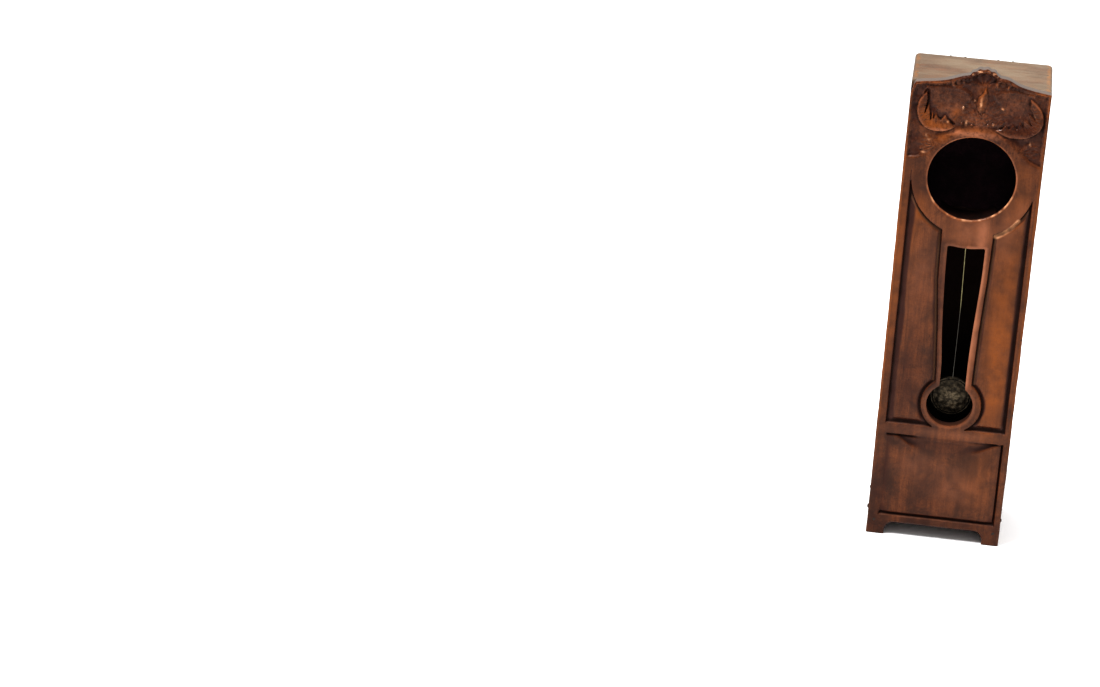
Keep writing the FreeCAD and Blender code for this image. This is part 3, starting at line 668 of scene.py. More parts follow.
def face_wear(x, z, depth):
    """Painted shade in cavities, on undersides and in wide hollows, and worn edges with painted light on tops
    and round the dial, worked out from its depth.
    """
    cavity_shade = np.clip((depth - blurred(depth, 5)) / 0.6, -1, 1)
    broad_shade = np.clip((depth - blurred(depth, 16)) / 0.8, 0, 1) * np.where(z > CREST_FROM, 0.7, 1)
    fine = np.clip((blurred(depth, 2) - depth) / 0.2, -1, 1)
    # Up-facing slopes are painted lighter and down-facing ones darker, as painted light and shade from above.
    slope = np.gradient(depth, axis=0) / np.gradient(z, axis=0)
    # Painted highlight round the dial's edge.
    rim = ease(0.9, 0.45, openings(x, z)[0]) * (0.8 + 0.3 * noise(x, z, 4, 62))
    rubbed = np.where(z > CREST_FROM, ease(279, 275, z), 0.45)
    rubbed = rubbed * (0.55 + 0.6 * noise(x, z, 8, 63))
    worn = np.maximum.reduce([fine * rubbed, rim, 0.5 * ease(0.1, 0.9, slope)])
    return np.maximum(cavity_shade, 0.35 * ease(-0.15, -1, slope)), broad_shade, worn


def wall_points(x, z, depth):
    """Points behind a point on the face's edge, each with how far inside the case it is, which sets its
    painted shade.
    """
    lip, back = Y_FRONT + SEAT_LIP, Y_FRONT + PANEL_THICK
    r = math.hypot(x, z - DIAL_Z)
    if r < DIAL_R + 0.6:
        grow = SEAT_R / r
        seat_x, seat_z = x * grow, DIAL_Z + (z - DIAL_Z) * grow
        return [((x, Y_FRONT + 0.55 * SEAT_LIP, z), 0.7), ((x, lip, z), 1),
                ((seat_x, lip, seat_z), 1), ((seat_x, back, seat_z), 1)]
    hole = float(openings(np.array([x]), np.array([z]))[1][0] < 1)
    return [((x, Y_FRONT + depth + 1.2, z), 0.75 * hole), ((x, back, z), hole)]


def bevel_light(x, z):
    """1 along the lit bevel under the ring."""
    return ease(1.7, 0.5, away(x, z, BEVEL_LIGHT)) * (0.7 + 0.4 * noise(x, z, 3, 67))


def light_amount(x, y, z):
    """1 where the wood is painted pale: patches of wear and painted light, and painted highlights on leaf
    rims, openings' edges and the bevel.
    """
    dial, keyhole = openings(x, z)
    leaf_rim = np.minimum.reduce([away(x, z, smooth_path(outer)) for outer, teeth in LEAF_EDGES])
    leaf_rim = 0.6 * ease(1.3, 0.4, leaf_rim) * (leaf_distance(x, z) < 0.1)
    slot_edge = ease(2.6, 0.6, keyhole) * np.where(x > BOB_HOLE_X, 0.9, 0.35) * ease(92, 100, z)
    hole_edge = 0.3 * ease(2.4, 0.8, keyhole) * ease(98, 90, z)
    dial_edge = ease(1.1, 0.5, dial) * (y < Y_FRONT + 1.2) * (0.6 + 0.4 * noise(x, z, 4, 68))
    return np.maximum.reduce([patches_at(x, z, LIGHT_PATCHES), leaf_rim, slot_edge, hole_edge,
                              dial_edge, bevel_light(x, z)])


def glint_amount(x, y, z):
    """Painted highlights: high spots, the bevel, the dial's lower rim, the knob's beads, a line in the
    grooves.
    """
    dial = openings(x, z)[0]
    # Painted highlight on the dial's lower rim.
    lower_rim_highlight = ease(1, 0.4, dial) * ease(216, 208, z) * (0.15 + 0.6 * noise(x, z, 2.2, 64))
    lower_rim_highlight = lower_rim_highlight * (dial > -0.3) * (y < Y_FRONT + 1)
    # Painted highlights on the knob's beads.
    beaded = ease(KNOB_R - 2, KNOB_R - 1, round_knob(x, z)[0]) * ease(278, 279.5, z) * (y < Y_FRONT + 0.8)
    beaded = 0.8 * beaded * np.clip(noise(x, z, 0.9, 65), 0, 1)
    spots = patches_at(x, z, GLINTS) * (0.6 + 0.6 * noise(x, z, 0.8, 66))
    # Painted highlight along the groove beside the spine.
    groove_highlight = 0.1 * ease(0.75, 0.2, np.abs(spine_distance(x, z) - 1.5))
    groove_highlight = groove_highlight * (z < WINDOW[3]) * (z > 98) * (sd_box(x, z, WINDOW) < -1.5)
    return np.clip(np.maximum.reduce([spots, 0.75 * bevel_light(x, z), lower_rim_highlight, beaded, groove_highlight]), 0, 1)


def warm_amount(x, y, z):
    """1 where the varnish is orange: patches, and the outer corners of the stiles."""
    stile_edge = 0.85 * ease(35.4, 36.8, np.abs(x)) * ease(30, 110, z) * (y < Y_FRONT + 1.5)
    return np.maximum(patches_at(x, z, WARM_PATCHES), stile_edge)


def dark_amount(x, z, hollow):
    """1 where the wood is painted darker: patches of stain and painted shade, painted shade in hollows and
    the outer grooves, a painted shadow beside the leaves.
    """
    leaf = leaf_distance(x, z)
    shadow = np.where(x < 0, 1, 0.3 + 0.5 * ease(249, 256, z)) * ease(3.4, 0.3, leaf)
    shadow = shadow * (bowl_zone(x, z) < 0) * (leaf > 0)
    # Painted shade in the outer grooves.
    left, right = x - WINDOW[0] - field_wave(x, z), WINDOW[1] - x
    groove_shade = np.maximum(ease(4.6, 2.4, left), 0.8 * ease(2.8, 1.4, right))
    groove_shade = groove_shade * (sd_box(x, z, WINDOW) < 0) * (spine_distance(x, z) > 0)
    return np.maximum.reduce([patches_at(x, z, DARK_PATCHES), hollow, shadow, groove_shade])


def front_mesh():
    """The whole front panel: carved face, openings with their walls, and plain back."""
    x, z, solid = front_grid()
    depth = relief(x, z)
    faces = grid_faces(solid)
    used = np.unique(np.concatenate([np.array(f) for f in faces]))
    renumber = np.full(x.size, -1)
    renumber[used] = np.arange(len(used))
    faces = [[int(renumber[i]) for i in f] for f in faces]
    px, pz, pd = [a.ravel()[used] for a in (x, z, depth)]
    cavity_shade, broad_shade, worn = [a.ravel()[used] for a in face_wear(x, z, depth)]
    verts = list(zip(px, Y_FRONT + pd, pz))
    inner = [0] * len(verts)
    columns, back_edges = {}, []
    for edge in open_edges(faces):
        for v in edge:
            if v not in columns:
                added = wall_points(px[v], pz[v], pd[v])
                columns[v] = [v] + list(range(len(verts), len(verts) + len(added)))
                verts += [point for point, inside in added]
                inner += [inside for point, inside in added]
        near, far = [columns[v] for v in edge]
        faces += [[far[k], near[k], near[k + 1], far[k + 1]] for k in range(len(near) - 1)]
        back_edges.append((near[-1], far[-1]))
    walls = (0, len(verts) - len(used))
    vx, vy, vz = np.array(verts).T
    # Painted shade in the scoop under the lower panel's upper edge, and on the walls.
    hollow = scoop(vx, vz) * (vz > LOWER[2])
    cavity_shade = np.maximum(np.pad(cavity_shade, walls, constant_values=WALL_SHADE), 0.75 * hollow)
    # Grey of grime and painted sheen on the walls along the crest's top.
    crest_top_dust_and_sheen = (np.arange(len(verts)) >= len(used)) & (np.array(inner) == 0) & (vz > CORNER_Z - 1)
    mesh = bpy.data.meshes.new("front_panel_carved")
    mesh.from_pydata([(p[0] * MM, p[1] * MM, p[2] * MM) for p in verts], [], faces)
    for name, values in (("broad_shade", np.pad(broad_shade, walls)), ("worn", np.pad(worn, walls)),
                         ("inner", inner), ("cavity_shade", cavity_shade), ("light", light_amount(vx, vy, vz)),
                         ("glint", glint_amount(vx, vy, vz)), ("warm", warm_amount(vx, vy, vz)),
                         ("dark", dark_amount(vx, vz, hollow)), ("dust_and_sheen", crest_top_dust_and_sheen)):
        put_attribute(mesh, name, values)
    return cleaned(mesh, merge=3e-7, sharp=48, back_edges=back_edges)


# ---- materials ----

class Nodes:
    """Short way to build a material's node tree."""

    def __init__(self, name):
        self.material = bpy.data.materials.new(name)
        self.material.use_nodes = True
        self.tree = self.material.node_tree
        self.shader = self.tree.nodes["Principled BSDF"]
        self.place = self.tree.nodes.new("ShaderNodeTexCoord").outputs["Object"]

    def node(self, kind, **inputs):
        """New node; an underscore stands for a space in a socket's name."""
        made = self.tree.nodes.new(kind)
        for key, value in inputs.items():
            self.put(made, key.replace("_", " "), value)
        return made

    def put(self, node, key, value):
        """Links or sets the socket of that name or number."""
        socket = node.inputs[int(key)] if key.isdigit() else node.inputs[key]
        if isinstance(value, bpy.types.NodeSocket):
            self.tree.links.new(value, socket)
        else:
            socket.default_value = value

    def scaled(self, x, y, z):
        """Place with each axis scaled, for stretched textures."""
        mapping = self.node("ShaderNodeMapping", Vector=self.place)
        mapping.inputs["Scale"].default_value = (x, y, z)
        return mapping.outputs[0]

    def noise(self, vector, scale, detail=4, rough=0.55, twist=0):
        made = self.node("ShaderNodeTexNoise", Vector=vector, Scale=scale, Detail=detail,
                         Roughness=rough, Distortion=twist)
        return made.outputs["Fac"]

    def attribute(self, name):
        """Number stored by put_attribute."""
        made = self.node("ShaderNodeAttribute")
        made.attribute_name = name
        return made.outputs["Fac"]

    def axis(self, name):
        return self.node("ShaderNodeSeparateXYZ", Vector=self.place).outputs[name]

    def band(self, value, low, high, to_low=0, to_high=1):
        """Ramp between two places in millimetres."""
        return self.ramp(value, low * MM, high * MM, to_low, to_high)

    def math(self, kind, a, b=0):
        made = self.tree.nodes.new("ShaderNodeMath")
        made.operation = kind
        for key, value in (("0", a), ("1", b)):
            self.put(made, key, value)
        return made.outputs[0]

    def times(self, a, b):
        return self.math("MULTIPLY", a, b)

    def largest(self, a, b):
        return self.math("MAXIMUM", a, b)

    def across(self):
        """Distance from the middle plane."""
        return self.math("ABSOLUTE", self.axis("X"))

    def ramp(self, value, low, high, to_low=0, to_high=1):
        """Smooth step of a value from low to high, clamped."""
        made = self.node("ShaderNodeMapRange", Value=value, From_Min=low, From_Max=high,
                         To_Min=to_low, To_Max=to_high)
        made.interpolation_type = "SMOOTHSTEP"
        return made.outputs[0]

    def mix(self, factor, a, b):
        """Colour a where factor is 0, b where it is 1."""
        made = self.tree.nodes.new("ShaderNodeMix")
        made.data_type = "RGBA"
        for key, value in (("0", factor), ("6", a), ("7", b)):
            self.put(made, key, value)
        return made.outputs[2]

    def bump(self, height, strength, distance, under=None):
        made = self.node("ShaderNodeBump", Height=height, Strength=strength, Distance=distance)
        if under is not None:
            self.put(made, "Normal", under)
        return made.outputs[0]

    def finish(self, **inputs):
        """Feeds the shader's sockets and hands back the material."""
        for key, value in inputs.items():
            self.put(self.shader, key.replace("_", " "), value)
        return self.material


def srgb(r, g, b):
    """Linear colour of a colour written as 0-255 display values."""
    def one(v):
        v = v / 255
        return v / 12.92 if v <= 0.04045 else ((v + 0.055) / 1.055) ** 2.4
    return (one(r), one(g), one(b), 1)


WOOD_DARK = srgb(58, 33, 21)
WOOD_LIGHT = srgb(114, 67, 38)
WOOD_STREAK = srgb(60, 34, 22)
WOOD_PALE = srgb(157, 103, 75)
WOOD_WARM = srgb(131, 75, 31)
WOOD_DEEP = srgb(58, 24, 13)
WOOD_EDGE = srgb(160, 98, 58)
WOOD_BARE = srgb(140, 98, 60)
# Grey of grime and painted sheen on the top board and on the crest's top edge.
TOP_DUST_AND_SHEEN = srgb(118, 103, 86)
CREST_DUST_AND_SHEEN = srgb(100, 92, 86)
STAIN = srgb(40, 20, 14)
# Painted highlights.
GLINT = srgb(250, 190, 146)
# Painted shade in recesses and on the wood inside the case.
RECESS_SHADE = srgb(24, 13, 9)
# Painted shade on faces inside the case and on the openings' walls.
INSIDE_SHADE = srgb(54, 34, 27)
BRASS_DARK, BRASS_LIGHT, BRASS_SPOTS = srgb(82, 68, 42), srgb(140, 116, 70), srgb(30, 24, 16)
BRONZE_DARK, BRONZE_LIGHT, BRONZE_BRIGHT = srgb(46, 42, 37), srgb(78, 70, 58), srgb(142, 128, 106)
IRON, RUST = srgb(58, 54, 52), srgb(74, 44, 30)
WIRE_DARK, WIRE_LIGHT, WIRE_BELOW_BEND = srgb(140, 134, 104), srgb(176, 168, 130), srgb(92, 89, 84)
WAX_DARK, WAX_LIGHT = srgb(34, 22, 17), srgb(66, 46, 36)
DUST_DARK, DUST_LIGHT = srgb(86, 70, 54), srgb(122, 106, 88)
VELVET_DARK, VELVET_LIGHT, VELVET_PILE = srgb(46, 28, 34), srgb(70, 44, 52), srgb(32, 18, 23)
VELVET_SHEEN = srgb(140, 100, 112)


def wood_grain(n, along):
    """Colour of old varnished fruitwood: faint streaks, open pores and cloudy stain."""
    stretch = {"z": (1, 1, 0.07), "x": (0.07, 1, 1)}[along]
    streaks = n.noise(n.scaled(*stretch), 380, 6, 0.6, 0.6)
    pores = n.noise(n.scaled(*[k * 2.5 for k in stretch]), 900, 2, 0.6)
    clouds = n.noise(n.place, 70, 6, 0.68, 0.5)
    bands = n.noise(n.scaled(*stretch), 130, 3, 0.5)
    tone = n.math("ADD", n.times(clouds, 0.72), n.times(bands, 0.28))
    base = n.mix(n.ramp(tone, 0.36, 0.63), WOOD_DARK, WOOD_LIGHT)
    speckle = n.noise(n.place, 1300, 3, 0.7)
    base = n.mix(n.ramp(speckle, 0.42, 0.62, 0, 0.35), base, WOOD_STREAK)
    base = n.mix(n.ramp(streaks, 0.38, 0.62, 0, 0.5), base, WOOD_STREAK)
    base = n.mix(n.ramp(pores, 0.62, 0.72, 0, 0.7), base, STAIN)
    return base, streaks, pores


def varnish(n, base, streaks, pores, dull):
    """Uneven old varnish over the wood; dull is 1 where it has gone from the recesses."""
    smear = n.noise(n.place, 160, 5, 0.6)
    rough = n.math("ADD", n.ramp(smear, 0.3, 0.75, 0.3, 0.5), n.times(dull, 0.4))
    coat = n.times(n.math("SUBTRACT", 1, dull), 0.13)
    normal = n.bump(streaks, 0.22, 0.0002)
    normal = n.bump(pores, 0.25, 0.0001, normal)
    normal = n.bump(smear, 0.3, 0.0006, normal)
    return n.finish(Base_Color=base, Roughness=rough, Normal=normal, Coat_Weight=coat,
                    Coat_Roughness=0.14, Specular_IOR_Level=0.18)


def carved_wood():
    """The front's wood: patches of stain and wear, grime, painted highlights and painted shade are laid over
    the grain by the mesh's attributes.
    """
    n = Nodes("carved_wood")
    base, streaks, pores = wood_grain(n, "z")
    patches = n.noise(n.place, 95, 5, 0.62)
    # warm is orange varnish; light and dark are partly wear and stain, partly painted highlights and painted
    # shade.
    for name, span, colour in (("warm", (0.3, 0.6, 0.5, 1), WOOD_WARM),
                               ("light", (0.25, 0.6, 0.6, 1), WOOD_PALE),
                               ("dark", (0.25, 0.65, 1, 0.6), WOOD_DEEP)):
        base = n.mix(n.times(n.attribute(name), n.ramp(patches, *span)), base, colour)
    mottle = n.noise(n.place, 520, 5, 0.72)
    crest = n.band(n.axis("Z"), CREST_FROM, CREST_FROM + 8)
    for span, colour in (((0.52, 0.68, 0, 0.22), WOOD_PALE), ((0.5, 0.37, 0, 0.55), STAIN)):
        base = n.mix(n.times(crest, n.ramp(mottle, *span)), base, colour)
    # Painted shade in wide hollows.
    base = n.mix(n.ramp(n.attribute("broad_shade"), 0, 0.85, 0, 0.9), base, WOOD_DEEP)
    # Painted shade in recesses, on undersides, on the walls and in the scoop.
    cavity_shade = n.ramp(n.attribute("cavity_shade"), 0.2, 1)
    base = n.mix(n.times(cavity_shade, 0.8), base, RECESS_SHADE)
    # Edge wear, with painted light on up-facing slopes and a painted highlight round the dial.
    worn = n.times(n.ramp(n.attribute("worn"), 0.3, 1), n.ramp(patches, 0.35, 0.6, 0.2, 1))
    base = n.mix(n.times(worn, 0.6), base, WOOD_EDGE)
    # Painted highlights.
    base = n.mix(n.times(n.attribute("glint"), 0.85), base, GLINT)
    # Grey of grime and painted sheen on the walls along the crest's top.
    base = n.mix(n.times(n.attribute("dust_and_sheen"), 0.85), base, CREST_DUST_AND_SHEEN)
    # Painted shade on the walls inside the openings.
    inner = n.attribute("inner")
    base = n.mix(inner, base, INSIDE_SHADE)
    return varnish(n, base, streaks, pores, n.largest(cavity_shade, inner))


def board_wood(name, along, inside, worn, shade=None):
    """Varnished board: painted shade where inside is 1, worn to bare wood where worn is 1, clouded with a
    grey of grime and painted sheen when shade is given.
    """
    n = Nodes(name)
    base, streaks, pores = wood_grain(n, along)
    # Grey of grime and painted sheen clouded over the board.
    if shade:
        cloudy = n.noise(n.scaled(0.25, 1, 1), 120, 5, 0.6)
        base = n.mix(n.ramp(cloudy, 0.3, 0.65, 0.45, 0.92), base, shade)
    patches = n.noise(n.place, 110, 5, 0.6)
    base = n.mix(n.times(worn(n), n.ramp(patches, 0.36, 0.6)), base, WOOD_BARE)
    # Painted shade on the faces inside the case.
    hidden = inside(n)
    base = n.mix(hidden, base, INSIDE_SHADE)
    return varnish(n, base, streaks, pores, hidden)


def side_inside(n):
    """Painted shade on faces inside the case, and a painted shadow in the gap behind the worn corner of the
    front.
    """
    inward = n.band(n.across(), SIDE_INNER, SIDE_INNER - 0.7)
    front = n.band(n.axis("Y"), Y_FRONT + PANEL_THICK + 5.5, Y_FRONT + PANEL_THICK + 4)
    corner = n.times(front, n.band(n.axis("Z"), 260, 263))
    return n.largest(inward, n.times(corner, n.band(n.axis("X"), 1, -1)))


def side_worn(n):
    """Rubbed along the rear corner and the foot."""
    rear = n.band(n.axis("Y"), CASE_REAR - 2.2, CASE_REAR - 0.3)
    return n.times(n.largest(rear, n.band(n.axis("Z"), 2.2, 0.4)), 0.45)


def top_inside(n):
    """Painted shade on the underside, and darker along the rear edge and towards the left end."""
    under = n.band(n.axis("Z"), TOP_UNDERSIDE + 0.7, TOP_UNDERSIDE + 0.1)
    rear = n.band(n.axis("Y"), CASE_REAR - 1.3, CASE_REAR, 0, 0.75)
    return n.largest(under, n.largest(rear, n.band(n.axis("X"), -12, -36, 0, 0.22)))


def top_worn(n):
    """A paler line near each end, over the joint with the side board."""
    line = n.times(n.band(n.across(), 33.8, 35.2), n.band(n.across(), 37.2, 36))
    return n.times(line, 0.6)


def back_inside(n):
    """Painted shade on everything but the rear face."""
    return n.band(n.axis("Y"), CASE_REAR - 0.6, CASE_REAR - 1.2)


def back_worn(n):
    """Rubbed along the upright edges."""
    return n.band(n.across(), 31, 32.5, 0, 0.3)


def dark_wood():
    """Unvarnished wood inside the case, painted near-black as painted shade."""
    n = Nodes("inner_wood")
    streaks = n.noise(n.scaled(1, 1, 0.08), 300, 5)
    base = n.mix(n.ramp(streaks, 0.3, 0.7), RECESS_SHADE, STAIN)
    return n.finish(Base_Color=base, Roughness=n.ramp(streaks, 0.2, 0.8, 0.75, 0.9),
                    Normal=n.bump(streaks, 0.4, 0.0003), Specular_IOR_Level=0.15)


def hinge_brass():
    """Dull brass with dark spots."""
    n = Nodes("aged_brass")
    patina = n.noise(n.place, 220, 6, 0.65)
    spots = n.noise(n.place, 1100, 4, 0.6)
    base = n.mix(n.ramp(patina, 0.35, 0.68), BRASS_DARK, BRASS_LIGHT)
    base = n.mix(n.ramp(spots, 0.62, 0.8), base, BRASS_SPOTS)
    return n.finish(Base_Color=base, Metallic=1, Roughness=n.ramp(patina, 0.3, 0.7, 0.56, 0.34),
                    Normal=n.bump(spots, 0.25, 0.0002))


def metal(name, grain, tones, colours, metallic, rough, bump, over=None):
    """Two tones in patches, with roughness and bump that follow them; over() paints on top."""
    n = Nodes(name)
    patches = n.noise(n.place, *grain)
    base = n.mix(n.ramp(patches, *tones), *colours)
    if over:
        base = over(n, patches, base)
    if isinstance(metallic, tuple):
        metallic = n.ramp(patches, *metallic)
    return n.finish(Base_Color=base, Metallic=metallic, Roughness=n.ramp(patches, 0.3, 0.7, *rough),
                    Normal=n.bump(patches, *bump))


def rubbed_and_highlit(n, patches, base):
    """The middle of the bob is rubbed bright and given a painted highlight."""
    polish_and_highlight = n.times(n.attribute("polish_and_highlight"), n.ramp(patches, 0.42, 0.66, 0.1, 0.7))
    return n.mix(polish_and_highlight, base, BRONZE_BRIGHT)


def darker_below_bend(n, patches, base):
    """The wire is a darker grey below its bend."""
    return n.mix(n.band(n.axis("Z"), ROD_BEND + 6, ROD_BEND - 6), base, WIRE_BELOW_BEND)


def velvet():
    """Worn plum velvet: crushed patches and a fine pile."""
    n = Nodes("velvet")
    crush = n.noise(n.place, 130, 5, 0.6)
    pile = n.noise(n.place, 4200, 2, 0.7)
    base = n.mix(n.ramp(crush, 0.35, 0.7), VELVET_DARK, VELVET_LIGHT)
    base = n.mix(n.ramp(pile, 0.4, 0.7), base, VELVET_PILE)
    return n.finish(Base_Color=base, Roughness=0.9, Specular_IOR_Level=0.2, Sheen_Weight=0.2,
                    Sheen_Roughness=0.4, Sheen_Tint=VELVET_SHEEN,
                    Normal=n.bump(pile, 0.5, 0.0003, n.bump(crush, 0.35, 0.0008)))


# ---- pieces ----

def soften(node, width_mm):
    """Rounds a CAD node's edges without touching its mesh."""
    obj = nodes[node]
    obj.modifiers.new("weld", "WELD").merge_threshold = WELD_DISTANCE
    bevel = obj.modifiers.new("bevel", "BEVEL")
    bevel.width = width_mm * MM
    bevel.segments = 3
    bevel.limit_method = "ANGLE"
    bevel.angle_limit = math.radians(35)
    obj.modifiers.new("flatten", "WEIGHTED_NORMAL").keep_sharp = True
    obj.data.shade_smooth()
    obj.data.set_sharp_from_angle(angle=math.radians(40))


def paint(names, material):
    """Gives CAD nodes their material."""
    for name in names:
        mesh = nodes[name].data
        mesh.materials.clear()
        mesh.materials.append(material)


def new_piece(name, mesh, material, body, replaced):
    """Piece that stands for a CAD node and moves with its body."""
    obj = placed(name, mesh)
    mesh.materials.append(material)
    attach(obj, body)
    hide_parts(replaced)
    return obj


def bob_height(q, a, side):
    """Height of the bob as a part of its rise, q of the way out to its rim and at angle a."""
    def ring(middle, width):
        return math.exp(-((q - middle) / width) ** 2)

    detail = 0.05 * math.cos(q * 40)
    if side < 0:
        bead = 0.10 * ring(0.84, 0.03) * (0.6 + 0.4 * math.cos(a * 28))
        leaf = 0.07 * ring(0.62, 0.12) * (math.cos(a * 8 + 5 * q) + math.cos(a * 5 - 9 * q))
        petal_row = 0.10 * ring(0.3, 0.14) * (1 + math.cos(a * 6 + 0.4 + 4 * q))
        detail = bead + leaf + petal_row + 0.12 * ring(0, 0.12)
    rim = 0.13 * ring(0.95, 0.035)
    return min(1, 0.72 * (1 - q ** 2.2) + (rim + detail) * 0.85 - 0.02)


def bob_mesh(node, side):
    """One pressed half of the bob: -1 is the front, with its embossed wreath and rosette, 1 the rear."""
    low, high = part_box(node)
    centre_x, centre_z = (low.x + high.x) / 2, (low.z + high.z) / 2
    seam = high.y if side < 0 else low.y
    radius, rise = (high.x - low.x) / 2, high.y - low.y
    verts, polish_and_highlight = [], []
    for i in range(BOB_RINGS + 1):
        q = i / BOB_RINGS
        for k in range(BOB_SPOKES):
            a = 2 * math.pi * k / BOB_SPOKES if i else 0
            height = max(rise * bob_height(q, a, side), 0) if i < BOB_RINGS else 0
            r = radius * q
            verts.append((centre_x + r * math.cos(a), seam + side * height, centre_z + r * math.sin(a)))
            # How much of the rubbed bright middle and painted highlight each point gets.
            polish_and_highlight.append(math.exp(-(q / 0.42) ** 2))
    faces = []
    for i in range(BOB_RINGS):
        for k in range(BOB_SPOKES):
            a, b = i * BOB_SPOKES + k, i * BOB_SPOKES + (k + 1) % BOB_SPOKES
            c, d = a + BOB_SPOKES, b + BOB_SPOKES
            faces.append((a, b, d, c) if side < 0 else (a, c, d, b))
    rim = BOB_RINGS * BOB_SPOKES
    faces.append(tuple(range(rim, rim + BOB_SPOKES))[::-side])
    mesh = bpy.data.meshes.new("bob_half")
    mesh.from_pydata(verts, [], faces)
    put_attribute(mesh, "polish_and_highlight", polish_and_highlight)
    return cleaned(mesh, merge=1e-7, sharp=60)


def lining_mesh():
    """Quilted velvet pad: crowned, pulled in at its edge seam and along its buttoned rows."""
    low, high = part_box("door_lining")
    width, tall, thick = high.x - low.x, high.z - low.z, high.y - low.y
    verts, faces = [], []
    for j in range(PAD_ROWS + 1):
        for i in range(PAD_COLS + 1):
            u, v = i / PAD_COLS, j / PAD_ROWS
            near = min(min(u, 1 - u) * width, min(v, 1 - v) * tall) / MM
            crown = min(1, (near / 6)) ** 0.45
            puffs = 0.80 + 0.20 * abs(math.sin(math.pi * u * 3)) * abs(math.sin(math.pi * v * 5)) ** 0.7
            ripple = 0.05 * math.sin(v * 61 + 3 * math.sin(u * 9)) * math.exp(-near / 4)
            height = thick * min(1, crown * puffs + ripple * crown)
            pull = 0.35 * MM * math.sin(math.pi * v * 5)
            x = low.x + width * u + (pull if u == 0 else -pull if u == 1 else 0)
            verts.append((x, high.y - max(height, 0), low.z + tall * v))
    across = PAD_COLS + 1
    for j in range(PAD_ROWS):
        for i in range(PAD_COLS):
            a = j * across + i
            faces.append((a, a + 1, a + 1 + across, a + across))
    border = (list(range(across)) + [j * across + PAD_COLS for j in range(1, PAD_ROWS + 1)]
              + [PAD_ROWS * across + i for i in range(PAD_COLS - 1, -1, -1)]
              + [j * across for j in range(PAD_ROWS - 1, 0, -1)])
    middle = len(verts)
    verts.append(((low.x + high.x) / 2, high.y, (low.z + high.z) / 2))
    faces += [(b, a, middle) for a, b in zip(border, border[1:] + border[:1])]
    mesh = bpy.data.meshes.new("velvet_pad")
    mesh.from_pydata(verts, [], faces)
    mesh.shade_smooth()
    return mesh


def dress():
    """Every CAD node gets its material; those whose shape needs more are replaced."""
    boards = ["left_side", "right_side", "lower_back", "back_door", "base_board"]
    strips = ["left_stop_strip", "right_stop_strip", "watch_cradle"]
    hinges = [f"{side}_hinge_{leaf}_leaf" for side in ("left", "right") for leaf in ("fixed", "door")]
    paint(boards[:2], board_wood("side_wood", "z", side_inside, side_worn))
    paint(["top_board"], board_wood("top_wood", "x", top_inside, top_worn, TOP_DUST_AND_SHEEN))
    paint(boards[2:] + ["turn_button"], board_wood("back_wood", "z", back_inside, back_worn))
    paint(strips + ["corner_blocks"], dark_wood())
    paint(hinges + ["watch_hook"], hinge_brass())
    paint(["pendulum_rod"], metal("rod_wire", (400, 4), (0.3, 0.7), (WIRE_DARK, WIRE_LIGHT),
                                  1, (0.3, 0.5), (0.2, 0.0001), darker_below_bend))
    for name, kind, colours in (("front_nails", "filled_nails", (WAX_DARK, WAX_LIGHT)),
                                ("top_nails", "dusty_nails", (DUST_DARK, DUST_LIGHT))):
        paint([name], metal(kind, (900, 4), (0.35, 0.65), colours, 0.3, (0.35, 0.6), (0.3, 0.0002)))
    paint(["pivot_nail", "side_nails", "back_nails", "hinge_fixed_nails", "hinge_door_nails",
           "left_hinge_pin", "right_hinge_pin", "turn_button_washer", "turn_button_screw"],
          metal("aged_iron", (500, 6, 0.65), (0.45, 0.7), (IRON, RUST),
                (0.5, 0.7, 0.9, 0.3), (0.38, 0.7), (0.4, 0.0002)))
    for name in boards:
        soften(name, BOARD_BEVEL)
    for name in strips + ["turn_button"]:
        soften(name, STRIP_BEVEL)
    bronze = metal("bob_bronze", (420, 6, 0.7), (0.35, 0.65), (BRONZE_DARK, BRONZE_LIGHT),
                   0.9, (0.58, 0.4), (0.35, 0.0003), rubbed_and_highlit)
    new_piece("front_panel_carved", front_mesh(), carved_wood(), "case", "front_panel")
    new_piece("bob_front", bob_mesh("bob_front_shell", -1), bronze, "pendulum", "bob_front_shell")
    new_piece("bob_rear", bob_mesh("bob_rear_shell", 1), bronze, "pendulum", "bob_rear_shell")
    pad = new_piece("velvet_pad", lining_mesh(), velvet(), "door", "door_lining")


# ---- floor, light and camera ----

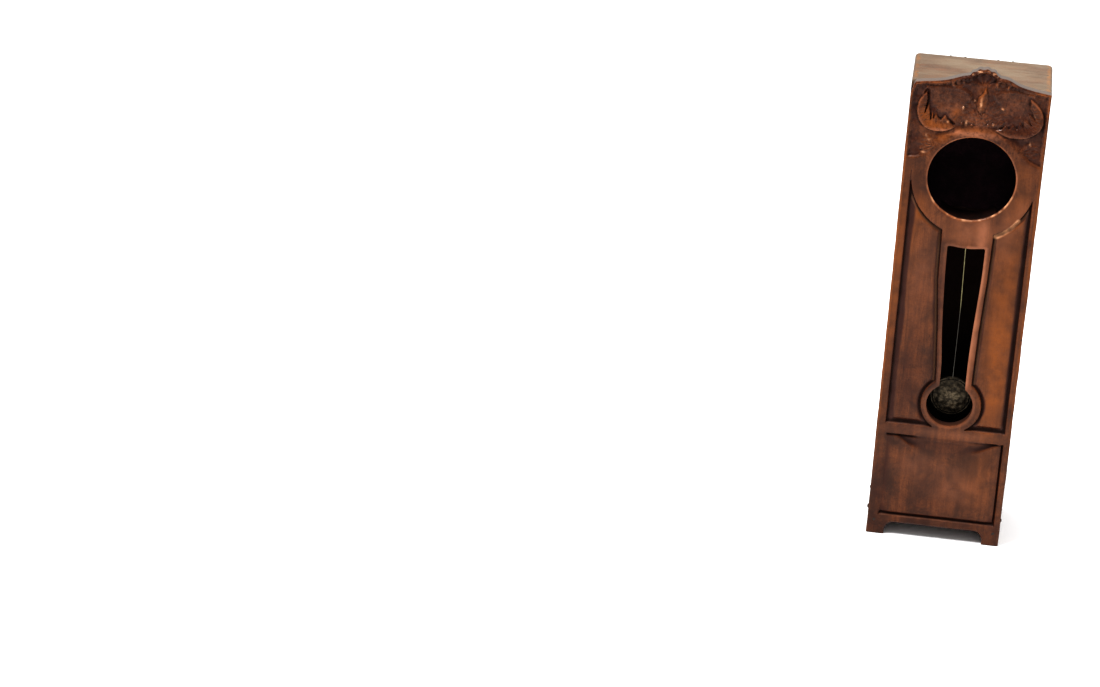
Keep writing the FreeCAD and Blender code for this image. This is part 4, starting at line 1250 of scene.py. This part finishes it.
def floor():
    """Plain pale floor."""
    size = 6
    mesh = bpy.data.meshes.new("floor")
    mesh.from_pydata([(-size, -size, 0), (size, -size, 0), (size, size, 0), (-size, size, 0)], [],
                     [(0, 1, 2, 3)])
    n = Nodes("floor")
    grain = n.noise(n.place, 30, 2)
    base = n.mix(grain, (0.93, 0.93, 0.93, 1), (0.95, 0.95, 0.95, 1))
    mesh.materials.append(n.finish(Base_Color=base, Roughness=0.9))
    placed("floor", mesh)


def soft_light(name, place, size, power):
    """Round area light that faces the middle of the case."""
    data = bpy.data.lights.new(name, "AREA")
    data.shape = "DISK"
    data.size = size
    data.energy = power
    obj = placed(name, data)
    obj.location = place
    obj.rotation_mode = "QUATERNION"
    obj.rotation_quaternion = (Vector((0, 0, 0.15)) - Vector(place)).to_track_quat("-Z", "Y")


def lights():
    """White surroundings, a key light from the left and a wide fill from behind."""
    world = bpy.data.worlds.new("studio")
    world.use_nodes = True
    background = world.node_tree.nodes["Background"]
    background.inputs["Color"].default_value = (1, 1, 1, 1)
    background.inputs["Strength"].default_value = 0.5
    bpy.context.scene.world = world
    soft_light("key", (-0.5, -0.38, 1.4), 0.32, 18)
    soft_light("fill", (0.3, 0.2, 1.6), 1.1, 13)


# Camera of the photograph: place, turn about Z, tilt and roll in degrees, lens on a 36 mm sensor.
CAMERA_MM = (-13.4, -1641.3, 836.9)
CAMERA_YAW = 7.338
CAMERA_PITCH = -24.115
CAMERA_ROLL = -3.15
LENS_MM = 105
SENSOR_MM = 36


def camera():
    """Camera at the photograph's place."""
    data = bpy.data.cameras.new("camera")
    data.lens = LENS_MM
    data.sensor_width = SENSOR_MM
    data.clip_start = 0.05
    data.clip_end = 50
    turn = (Matrix.Rotation(math.radians(CAMERA_YAW), 3, "Z")
            @ Matrix.Rotation(math.radians(CAMERA_PITCH), 3, "X")
            @ Matrix.Rotation(math.radians(CAMERA_ROLL), 3, "Y")
            @ Matrix.Rotation(math.radians(90), 3, "X"))
    x, y, z = CAMERA_MM
    obj = placed("camera", data)
    obj.matrix_world = Matrix.Translation((x * MM, (y + Y_FRONT) * MM, z * MM)) @ turn.to_4x4()
    bpy.context.scene.camera = obj


dress()
floor()
lights()
camera()
bpy.context.scene.view_settings.view_transform = "Standard"
bpy.context.scene.view_settings.look = "High Contrast"
